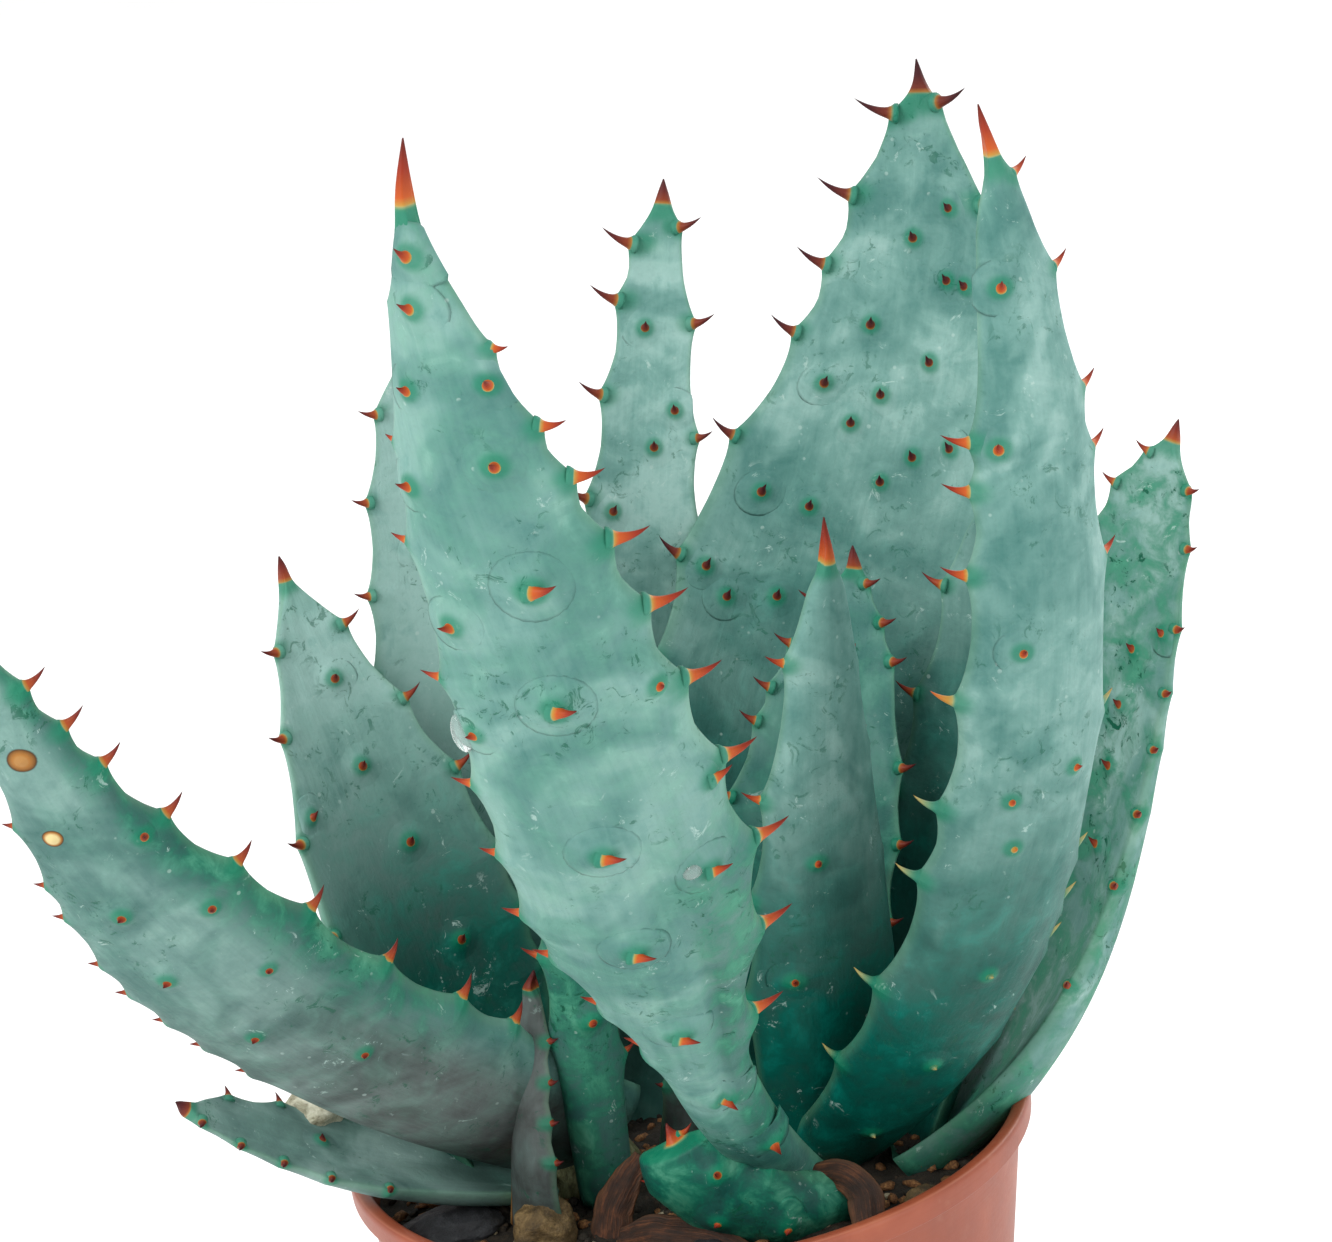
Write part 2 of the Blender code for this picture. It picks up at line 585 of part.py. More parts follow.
def dried_leaf_mesh(dried):
    """A thin strip with a flat section, along a curve through the leaf's points."""
    stations = np.linspace(0.0, 1.0, len(dried.points))
    at = np.linspace(0.0, 1.0, 3 * len(dried.points))
    path = np.stack([[float(smooth_through(stations, [p[i] for p in dried.points], t)) for t in at]
                     for i in range(3)], axis=1)
    path[:, 2] += SOIL_LEVEL
    half = [float(smooth_through(stations, dried.half_widths, t)) for t in at]
    facing = Vector(dried.facing).normalized()
    bm = bmesh.new()
    rings = []
    for k, point in enumerate(path):
        ahead = Vector(path[min(k + 1, len(path) - 1)] - path[max(k - 1, 0)]).normalized()
        across = ahead.cross(facing).normalized()
        up = across.cross(ahead)
        thick = DRIED_THICKNESS / 2
        sag = 0.35 * half[k]
        centre = Vector(point)
        ring = [centre - across * half[k] + up * (thick * 0.5 - sag), centre + up * thick,
                centre + across * half[k] + up * (thick * 0.5 - sag),
                centre + across * half[k] - up * (thick * 0.5 + sag), centre - up * thick,
                centre - across * half[k] - up * (thick * 0.5 + sag)]
        rings.append([bm.verts.new(corner * MM) for corner in ring])
    for first, second in zip(rings, rings[1:]):
        for k in range(6):
            bm.faces.new((first[k], first[(k + 1) % 6], second[(k + 1) % 6], second[k]))
    for ring in (rings[0], rings[-1]):
        bm.faces.new((ring[0], ring[1], ring[4], ring[5]))
        bm.faces.new((ring[1], ring[2], ring[3], ring[4]))
    bmesh.ops.triangulate(bm, faces=bm.faces, quad_method="FIXED")
    return bm


# ---- The whole plant ------------------------------------------------------------------------


def build():
    for obj in list(bpy.data.objects):
        bpy.data.objects.remove(obj)
    make_materials()
    make_pot()
    keep_off = [add_cutter("pot_keep_off", pot_guard())]
    for leaf in LEAVES:
        material = "leaf_shaded" if leaf.name in SHADED_LEAVES else "leaf"
        obj = add_object(leaf.name, leaf_solid(leaf), material)
        cut_away(obj, keep_off)
        keep_off.append(add_cutter(f"{leaf.name}_keep_off", leaf_solid(leaf), CUT_MARGIN))
    for stone in STONES:
        obj = add_object(stone.name, stone_mesh(stone), stone.material)
        cut_away(obj, keep_off)
        keep_off.append(add_cutter(f"{stone.name}_keep_off", stone_mesh(stone), CUT_MARGIN))
    for dried in DRIED_LEAVES:
        obj = add_object(dried.name, dried_leaf_mesh(dried), "dried_leaf")
        cut_away(obj, keep_off)
        keep_off.append(add_cutter(f"{dried.name}_keep_off", dried_leaf_mesh(dried), CUT_MARGIN))
    for name, crown in (("stem_right", RIGHT_CROWN), ("stem_left", LEFT_CROWN)):
        cut_away(add_object(name, stem_mesh(crown), "stem"), keep_off)
        keep_off.append(add_cutter(f"{name}_keep_off", stem_mesh(crown), CUT_MARGIN))
    cut_away(make_soil(), keep_off[1:])


def pot_guard():
    """The pot's wall and rim, grown by the gap that leaves and stones keep to it."""
    gap = CUT_MARGIN
    rim_foot = POT_HEIGHT - RIM_HEIGHT
    profile = [
        (0.0, -gap),
        (POT_BASE_RADIUS + gap, -gap),
        (pot_inner_radius(rim_foot) + POT_WALL + gap, rim_foot - gap),
        (POT_RIM_RADIUS + gap, rim_foot - gap),
        (POT_RIM_RADIUS + gap, POT_HEIGHT + gap),
        (pot_inner_radius(POT_HEIGHT) - gap, POT_HEIGHT + gap),
        (pot_inner_radius(POT_FLOOR) - gap, POT_FLOOR + gap),
        (0.0, POT_FLOOR + gap),
    ]
    return lathe(profile, POT_SEGMENTS)


build()
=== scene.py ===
"""A spiny aloe with two crowns of leaves in a round plastic nursery pot, in its finished looks.

Sizes in the tables are millimetres and degrees; the finished pieces are in metres.
"""

import math
from typing import NamedTuple

import bmesh
import bpy
import numpy as np
from mathutils import Matrix, Vector, noise


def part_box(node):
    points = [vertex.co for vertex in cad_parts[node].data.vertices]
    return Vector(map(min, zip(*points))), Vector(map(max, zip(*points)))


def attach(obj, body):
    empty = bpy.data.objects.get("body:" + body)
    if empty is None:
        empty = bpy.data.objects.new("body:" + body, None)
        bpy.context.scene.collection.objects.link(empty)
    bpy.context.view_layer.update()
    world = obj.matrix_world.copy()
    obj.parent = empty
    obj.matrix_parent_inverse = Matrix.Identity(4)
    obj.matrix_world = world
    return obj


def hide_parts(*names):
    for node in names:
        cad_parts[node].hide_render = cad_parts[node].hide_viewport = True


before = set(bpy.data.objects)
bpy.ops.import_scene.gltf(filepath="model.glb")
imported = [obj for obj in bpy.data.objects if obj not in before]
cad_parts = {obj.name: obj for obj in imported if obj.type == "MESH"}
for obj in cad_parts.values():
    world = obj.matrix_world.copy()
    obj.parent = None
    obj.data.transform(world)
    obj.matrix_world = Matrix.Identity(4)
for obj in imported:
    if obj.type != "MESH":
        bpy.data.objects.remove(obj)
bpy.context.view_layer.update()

MM = 0.001

# ---- Sizes shared with the CAD model ----------------------------------------------------------

POT_RIM_RADIUS = 60.0
POT_BASE_RADIUS = 42.5
POT_HEIGHT = 105.0
POT_WALL = 1.2
POT_FLOOR = 1.4
RIM_WIDTH = 2.7
RIM_HEIGHT = 4.4
RIM_ROUNDING = 0.9
DRAIN_HOLE_COUNT = 6
DRAIN_HOLE_RADIUS = 4.0
DRAIN_HOLE_INSET = 13.0
SOIL_LEVEL = 96.0

RIGHT_CROWN = (19.0, -4.0)
LEFT_CROWN = (-20.0, 3.0)
FRONT_OFFSET = (31.0, -25.0)

WIDTH_STATIONS = (0.0, 0.25, 0.5, 0.75, 0.9)
THICKNESS_STATIONS = (0.0, 0.3, 0.7, 0.9)
THICKNESS_SHAPE = (0.8, 1.0, 0.72, 0.45)
SPINE_BASE = 2.8


class Leaf(NamedTuple):
    """One leaf. Lean is from the vertical and bearing is from +X; both are read at the foot, the
    middle and the tip, and roll and curl at the foot and the tip. Teeth are fractions of length."""

    name: str
    crown: tuple
    foot: tuple
    rise: float
    length: float
    lean: tuple
    bearing: tuple
    roll: tuple
    widths: tuple
    thickness: float
    curl: tuple
    spine: float
    left_teeth: tuple
    right_teeth: tuple
    tooth: tuple


LEAVES = [
    Leaf("leaf_front_large", RIGHT_CROWN, (1.8, -11.3), 1.0, 247, (49, 32, -4), (-123, -104, -177),
         (1, 30), (13.5, 14.5, 35, 27.4, 14.8), 8.0, (22, 16), 9.0,
         (0.3, 0.4, 0.49, 0.57, 0.64, 0.7, 0.75, 0.795, 0.83, 0.88),
         (0.29, 0.36, 0.43, 0.48, 0.54, 0.6, 0.68, 0.77, 0.83, 0.91), (5.5, 2.6)),
    Leaf("leaf_right_large", RIGHT_CROWN, (4.6, -2.3), 4.0, 199, (53, 13, -6), (-45, -30, -37),
         (-32, -31), (18.4, 28.3, 27.5, 19.9, 11.5), 7.5, (24, 18), 8.0,
         (0.18, 0.27, 0.31, 0.36, 0.49, 0.62, 0.71, 0.76, 0.86, 0.94),
         (0.13, 0.23, 0.35, 0.42, 0.52, 0.63, 0.7, 0.74), (4.5, 4.5)),
    Leaf("leaf_front_stub", FRONT_OFFSET, (-7.0, 0.0), 4.0, 37, (86, 60, 12), (-164, -160, -172),
         (40, 64), (12, 16, 18.5, 18, 15), 11.0, (20, 20), 3.0,
         (0.5, 0.66, 0.8, 0.92), (0.6, 0.78), (2.6, 2.2)),
    Leaf("leaf_centre", RIGHT_CROWN, (3.0, 4.0), -2.0, 121, (8, 10, 10), (-52, -50, -22),
         (3, -22), (24, 29, 24, 15.5, 8.5), 7.0, (50, 25), 7.5,
         (0.32, 0.48, 0.65, 0.78), (0.3, 0.45, 0.6, 0.8), (2.6, 3.4)),
    Leaf("leaf_left_sweeping", LEFT_CROWN, (2.8, -3.3), 9.0, 181, (55, 42, 11), (218, 226, 227),
         (50, 31), (28, 32.8, 32.8, 18.6, 7), 7.0, (16, 14), 5.0,
         (0.2, 0.28, 0.39, 0.51, 0.61, 0.7, 0.78, 0.83, 0.88),
         (0.37, 0.43, 0.48, 0.53, 0.575, 0.64, 0.68, 0.75, 0.82), (4.4, 2.2)),
    Leaf("leaf_left_upright", LEFT_CROWN, (-7.0, 3.0), 1.0, 117, (15, 18, 13), (166, 148, 149),
         (-11, -35), (32, 39, 36, 22, 9.5), 7.5, (50, 25), 4.5,
         (0.2, 0.32, 0.46, 0.6, 0.75, 0.87), (0.25, 0.35, 0.45, 0.6, 0.73, 0.87), (3.6, 3.8)),
    Leaf("leaf_back_large", RIGHT_CROWN, (-1.0, 17.0), -1.5, 193, (1, 32, 1), (68, 45, 40),
         (37, 28), (40, 54, 58, 34, 17.5), 9.0, (45, 22), 6.0,
         (0.3, 0.4, 0.5, 0.62, 0.73, 0.8, 0.87, 0.95),
         (0.32, 0.42, 0.52, 0.62, 0.71, 0.79, 0.87, 0.96), (5.0, 4.6)),
    Leaf("leaf_back_centre", LEFT_CROWN, (9.5, 13.0), 0.0, 171, (26, 21, 18), (76, 60, 49),
         (40, 30), (25, 27, 23, 16.5, 10), 7.0, (45, 25), 4.5,
         (0.4, 0.55, 0.66, 0.77, 0.87, 0.93), (0.42, 0.53, 0.63, 0.73, 0.85, 0.95), (4.2, 3.4)),
    Leaf("leaf_right_outer", RIGHT_CROWN, (16.0, 1.5), 0.5, 137, (58, 22, 29), (2, 16, 14),
         (-14, 42), (32, 35, 30, 23, 15), 7.5, (45, 20), 4.0,
         (0.5, 0.62, 0.74, 0.84, 0.9, 0.95), (0.3, 0.43, 0.52, 0.6, 0.67, 0.75, 0.85, 0.92), (2.8, 2.4)),
    Leaf("leaf_inner_broad", RIGHT_CROWN, (1.0, 8.0), 0.0, 105, (2, 22, 12), (75, 42, 32),
         (30, 34), (26, 31, 31, 23, 10.5), 5.0, (42, 22), 4.0,
         (0.4, 0.55, 0.68, 0.74, 0.82, 0.9), (0.38, 0.52, 0.65, 0.82, 0.88, 0.94), (3.2, 3.2)),
    Leaf("leaf_inner_right", RIGHT_CROWN, (13.5, 6.0), -1.0, 119, (30, 18, 14), (30, 28, 30),
         (8, 14), (24, 28, 28, 18, 10.5), 6.0, (45, 22), 4.5,
         (0.35, 0.5, 0.65, 0.82), (0.36, 0.51, 0.66, 0.8, 0.9), (4.0, 3.2)),
    Leaf("leaf_back_left", LEFT_CROWN, (-5.0, 14.0), -1.0, 153, (20, 2, 8), (88, 108, 122),
         (-18, -24), (27, 34, 36, 29, 17), 6.5, (45, 22), 4.0,
         (0.35, 0.47, 0.58, 0.68, 0.79, 0.89), (0.4, 0.52, 0.64, 0.74, 0.82, 0.9), (3.2, 3.2)),
    Leaf("leaf_left_low", LEFT_CROWN, (-6.0, -7.0), 4.5, 70, (75, 62, 56), (201, 202, 201),
         (-8, -34), (17, 18, 19, 14, 8), 5.0, (30, 15), 2.6,
         (0.45, 0.6, 0.72, 0.83, 0.93), (0.4, 0.55, 0.7, 0.85), (2.0, 2.0)),
    Leaf("leaf_front_strip", LEFT_CROWN, (4.5, -12.0), 0.0, 118, (10, 18, 16), (-89, -76, -47),
         (-2, -2), (11, 12, 12, 10, 6), 5.0, (25, 20), 5.0,
         (0.25, 0.4, 0.55, 0.7, 0.84), (0.3, 0.45, 0.6, 0.74, 0.87), (2.6, 3.2)),
    Leaf("leaf_pink_edged", LEFT_CROWN, (-7.0, -22.0), 0.5, 46, (-6, -8, -6), (-138, -158, -127),
         (0, -3), (15, 14, 11, 8, 5), 4.0, (20, 20), 3.0,
         (0.3, 0.45, 0.6, 0.75), (0.32, 0.47, 0.62, 0.77), (2.2, 2.2)),
    Leaf("leaf_mauve_short", LEFT_CROWN, (17.0, 2.5), -3.0, 40, (19, 10, 11), (-51, -47, -44),
         (0, 8), (14, 13, 10, 6.5, 4.5), 4.0, (40, 20), 2.4,
         (0.5, 0.72), (0.48, 0.7), (1.8, 1.8)),
]


class Skin(NamedTuple):
    """A leaf's colouring: how far up the saturated teal of the foot reaches and how strong it is (partly the
    leaf's own colour, partly painted shade inside the rosette), how mauve, how green and how pale the
    blade is, how dark its spines are, and its face prickles as (fraction of length, -1 to 1 across,
    length), on the inner face or the outer one."""

    teal_top: float = 0.35
    teal: float = 0.8
    mauve: float = 0.0
    green: float = 0.0
    pale: float = 0.5
    dark_spines: float = 0.5
    inner: tuple = ()
    outer: tuple = ()


SKINS = {
    "leaf_front_large": Skin(0.24, 0.6, 0.0, 0.35, 0.4, 0.08, (
        (0.35, -0.3, 2.4), (0.5, 0.35, 2.4), (0.66, -0.1, 2.2), (0.8, 0.1, 2.0)), (
        (0.938, -0.3, 2.8), (0.91, -0.09, 2.4), (0.865, 0.33, 2.0), (0.863, -0.78, 2.4),
        (0.818, -0.45, 2.6), (0.81, 0.63, 2.2), (0.743, -0.27, 4.8), (0.725, 0.6, 2.6),
        (0.665, -0.03, 4.4), (0.652, -0.84, 1.8), (0.65, 0.75, 1.8), (0.57, -0.88, 3.4),
        (0.552, 0.09, 4.2), (0.507, -0.6, 3.4), (0.46, 0.15, 3.8), (0.355, 0.06, 3.6),
        (0.243, -0.24, 3.4), (0.15, -0.54, 3.0))),
    "leaf_right_large": Skin(0.5, 1.0, 0.0, 0.0, 0.35, 0.0, (
        (0.4, -0.2, 2.4), (0.56, 0.3, 2.4), (0.72, 0.0, 2.2)), (
        (0.86, 0.48, 2.6), (0.735, 0.72, 2.8), (0.568, 0.45, 1.7), (0.44, 0.39, 1.2),
        (0.398, 0.27, 1.2), (0.463, -0.3, 1.4), (0.275, 0.06, 1.1), (0.173, 0.12, 1.1),
        (0.075, 0.15, 1.1))),
    "leaf_front_stub": Skin(2.6, 0.85, 0.0, 1.0, 0.0, 0.15, (), (
        (0.6, 0.1, 1.2), (0.35, -0.3, 1.4), (0.75, -0.5, 1.6))),
    "leaf_centre": Skin(0.76, 1.0, 0.0, 0.0, 0.5, 0.1, ((0.5, 0.2, 2.0),), (
        (0.518, 0.33, 1.4), (0.343, 0.54, 1.4))),
    "leaf_left_sweeping": Skin(0.1, 0.2, 1.0, 0.15, 0.3, 0.45, (
        (0.3, 0.3, 2.4), (0.48, -0.3, 2.4), (0.66, 0.2, 2.2)), (
        (0.705, -0.72, 1.8), (0.603, -0.57, 1.8), (0.643, 0.18, 1.8), (0.507, -0.42, 1.3),
        (0.555, 0.33, 1.6), (0.445, 0.24, 1.4), (0.348, -0.21, 1.4))),
    "leaf_left_upright": Skin(0.78, 1.0, 0.0, 0.1, 0.85, 0.6, (
        (0.8, 0.18, 2.2), (0.662, 0.06, 2.4), (0.525, 0.24, 2.4), (0.353, 0.36, 2.4),
        (0.628, -0.84, 1.8)), ((0.4, 0.2, 2.2), (0.56, -0.3, 2.2), (0.72, 0.1, 2.0))),
    "leaf_back_large": Skin(0.66, 0.8, 0.0, 0.0, 0.36, 1.0, (
        (0.865, 0.54, 2.0), (0.835, -0.03, 2.4), (0.8, 0.48, 2.2), (0.797, 0.72, 2.0),
        (0.75, -0.36, 2.6), (0.725, 0.33, 2.2), (0.688, -0.6, 2.6), (0.688, -0.09, 2.2),
        (0.657, -0.27, 2.2), (0.638, 0.27, 2.2), (0.652, 0.57, 2.2), (0.61, 0.06, 2.2),
        (0.575, -0.69, 2.6), (0.573, -0.36, 2.2), (0.495, -0.86, 2.4), (0.473, -0.69, 2.2),
        (0.485, -0.39, 2.2)), (
        (0.35, 0.0, 2.6), (0.46, -0.35, 2.6), (0.55, 0.3, 2.6), (0.66, -0.1, 2.6), (0.77, 0.15, 2.4),
        (0.86, -0.1, 2.2), (0.6, -0.6, 2.2), (0.43, 0.6, 2.2))),
    "leaf_back_centre": Skin(0.5, 0.55, 0.0, 0.0, 0.55, 0.8, (
        (0.843, -0.27, 2.2), (0.718, 0.15, 2.2), (0.758, 0.6, 2.0), (0.648, -0.6, 2.2)), (
        (0.45, 0.1, 2.2), (0.6, -0.2, 2.2), (0.75, 0.2, 2.0))),
    "leaf_right_outer": Skin(0.3, 0.4, 0.0, 1.0, 0.6, 0.5, (
        (0.74, 0.8, 1.6), (0.557, 0.24, 2.0), (0.46, 0.36, 2.0), (0.635, 0.21, 1.8),
        (0.708, 0.27, 1.8)), (
        (0.4, 0.0, 2.4), (0.55, -0.4, 2.2), (0.68, 0.2, 2.2), (0.8, -0.1, 2.0))),
    "leaf_inner_broad": Skin(0.8, 0.9, 0.0, 0.35, 0.2, 0.7, (
        (0.75, 0.1, 2.2), (0.62, -0.3, 2.2), (0.5, 0.2, 2.2)), ((0.6, 0.0, 2.2),)),
    "leaf_inner_right": Skin(0.95, 0.9, 0.1, 0.0, 0.25, 0.5, ((0.6, 0.1, 2.2),), (
        (0.45, 0.1, 2.2), (0.62, -0.2, 2.2))),
    "leaf_back_left": Skin(0.6, 0.7, 0.0, 0.1, 0.8, 0.6, (
        (0.72, -0.4, 2.2), (0.64, -0.2, 2.2), (0.82, 0.3, 2.0)), (
        (0.4, 0.0, 2.4), (0.55, 0.3, 2.4), (0.7, -0.2, 2.2), (0.82, 0.1, 2.0))),
    "leaf_left_low": Skin(0.4, 0.3, 0.45, 0.1, 0.5, 0.9, ((0.6, 0.1, 1.4),), ((0.5, 0.0, 1.4),)),
    "leaf_front_strip": Skin(0.8, 0.4, 0.15, 1.0, 0.0, 0.3, (), ((0.5, 0.1, 2.2), (0.35, -0.1, 2.2))),
    "leaf_pink_edged": Skin(0.5, 0.1, 1.0, 0.0, 0.2, 0.8, (), ((0.6, 0.0, 1.4),)),
    "leaf_mauve_short": Skin(0.5, 0.1, 1.0, 0.3, 0.0, 0.8),
}


class Stone(NamedTuple):
    """A stone: its centre above the soil level, its three half sizes, its turn and a shape number."""

    name: str
    place: tuple
    radii: tuple
    turn: float
    shape: float
    material: str


STONES = [
    Stone("stone_slate", (-43.0, -15.0, 0.6), (9.0, 6.0, 3.0), 15, 1.7, "slate"),
    Stone("stone_ochre", (-26.5, -22.5, 1.6), (6.0, 5.0, 5.4), 30, 5.2, "ochre_stone"),
    Stone("stone_amber", (38.0, -31.0, 0.8), (3.8, 3.2, 2.6), -20, 8.4, "ochre_stone"),
    Stone("stone_brown", (-1.0, -42.0, 0.6), (6.5, 4.5, 3.2), 40, 11.9, "slate"),
    Stone("pebble_pale", (-63.5, -9.0, 23.0), (5.8, 4.6, 4.2), 20, 14.6, "pale_stone"),
]


class DriedLeaf(NamedTuple):
    """A withered strip: points along its middle above the soil level, its half widths, and the
    direction that its flat face looks in."""

    name: str
    points: tuple
    half_widths: tuple
    facing: tuple


DRIED_LEAVES = [
    DriedLeaf("dried_leaf_strand",
              ((-8.5, -21.5, 12.0), (-12.0, -22.5, 8.0), (-15.0, -23.5, 3.0), (-16.0, -25.0, -1.5)),
              (1.4, 2.8, 3.6, 4.2), (-0.3, -0.9, 0.3)),
    DriedLeaf("dried_leaf_under_stub",
              ((-14.0, -29.0, 0.8), (-7.5, -33.0, 3.2), (0.0, -37.0, 3.0), (7.0, -40.0, 0.4)),
              (2.4, 3.8, 3.6, 2.0), (0.1, -0.7, 0.7)),
    DriedLeaf("dried_leaf_claw",
              ((16.0, -29.0, 7.5), (23.5, -31.0, 8.5), (28.0, -35.0, 5.0), (28.0, -40.0, -1.5)),
              (1.0, 2.4, 3.2, 2.4), (0.2, -0.9, 0.45)),
]


# ---- Small helpers ------------------------------------------------------------------------------


def smooth_through(stations, values, at):
    """A curve through the values that never overshoots them (Fritsch-Carlson slopes)."""
    x, y = np.asarray(stations, float), np.asarray(values, float)
    at = np.asarray(at, float)
    step, rise = np.diff(x), np.diff(y)
    secant = rise / step
    slope = np.zeros_like(y)
    slope[0], slope[-1] = secant[0], secant[-1]
    for i in range(1, len(x) - 1):
        if secant[i - 1] * secant[i] > 0:
            slope[i] = 2 * secant[i - 1] * secant[i] / (secant[i - 1] + secant[i])
    i = np.clip(np.searchsorted(x, at, side="right") - 1, 0, len(step) - 1)
    u = (at - x[i]) / step[i]
    return (
        y[i] * (1 + 2 * u) * (1 - u) ** 2
        + slope[i] * step[i] * u * (1 - u) ** 2
        + y[i + 1] * u**2 * (3 - 2 * u)
        + slope[i + 1] * step[i] * u**2 * (u - 1)
    )


def through_three(values, at):
    """The parabola through values given at 0, a half and 1."""
    start, middle, end = values
    return start * (1 - at) * (1 - 2 * at) + 4 * middle * at * (1 - at) + end * at * (2 * at - 1)


def smoothstep(low, high, value):
    u = np.clip((value - low) / (high - low), 0.0, 1.0)
    return u * u * (3 - 2 * u)


def unit(vectors):
    return vectors / np.linalg.norm(vectors, axis=-1, keepdims=True)


def faces_out(points, faces):
    """The faces of a closed shell, turned so that they look outwards."""
    local = points - points.mean(axis=0)
    volume = 0.0
    for face in faces:
        for j in range(1, len(face) - 1):
            volume += local[face[0]] @ np.cross(local[face[j]], local[face[j + 1]])
    return faces if volume > 0 else [face[::-1] for face in faces]


def dome_faces(rings, around):
    """A closed dome: point 0 on top, the rings around it, and a last point beneath."""
    last = 1 + (rings - 2) * around
    faces = []
    for j in range(around):
        k = (j + 1) % around
        faces.append((0, 1 + j, 1 + k))
        faces.append((last + k, last + j, last + around))
        for low in range(1, last, around):
            faces.append((low + j, low + around + j, low + around + k, low + k))
    return faces


def into_scene(name, data):
    obj = bpy.data.objects.new(name, data)
    bpy.context.scene.collection.objects.link(obj)
    return obj


def set_vectors(mesh, name, rows):
    """Stores one vector for each point, for the shaders to read."""
    attribute = mesh.attributes.new(name, "FLOAT_VECTOR", "POINT")
    attribute.data.foreach_set("vector", rows.astype(np.float32).ravel())


class Part:
    """Grows one mesh out of closed shells, with vector attributes and materials."""

    def __init__(self):
        self.points = []
        self.faces = []
        self.slots = []
        self.data = {}
        self.count = 0

    def add(self, points, faces, slot=0, **data):
        points = np.asarray(points, float).reshape(-1, 3)
        for name, values in data.items():
            rows = self.data.setdefault(name, [])
            if not rows and self.count:
                rows.append(np.zeros((self.count, 3)))
            rows.append(np.broadcast_to(np.asarray(values, float), (len(points), 3)))
        for name, rows in self.data.items():
            if name not in data:
                rows.append(np.zeros((len(points), 3)))
        self.points.append(points)
        faces = faces_out(points, faces)
        self.faces += [tuple(int(i) + self.count for i in face) for face in faces]
        self.slots += [slot] * len(faces)
        self.count += len(points)

    def build(self, name, materials):
        mesh = bpy.data.meshes.new(name)
        points = np.concatenate(self.points) * MM
        mesh.from_pydata([tuple(p) for p in points], [], self.faces)
        for material in materials:
            mesh.materials.append(material)
        mesh.polygons.foreach_set("material_index", self.slots)
        for key, rows in self.data.items():
            set_vectors(mesh, key, np.concatenate(rows))
        mesh.validate()
        mesh.shade_smooth()
        return into_scene(name, mesh)


def grid_faces(rows, columns, closed_columns=True):
    """The faces of a grid of points, which meets itself round the columns if they are closed."""
    faces = []
    for i in range(rows - 1):
        for j in range(columns if closed_columns else columns - 1):
            k = (j + 1) % columns
            faces.append((i * columns + j, i * columns + k, (i + 1) * columns + k, (i + 1) * columns + j))
    return faces


def declare(obj, node):
    """Hides the CAD node that a finished piece stands for; every piece is still, so it rides the root."""
    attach(obj, "root")
    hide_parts(node)


# ---- Materials ----------------------------------------------------------------------------------


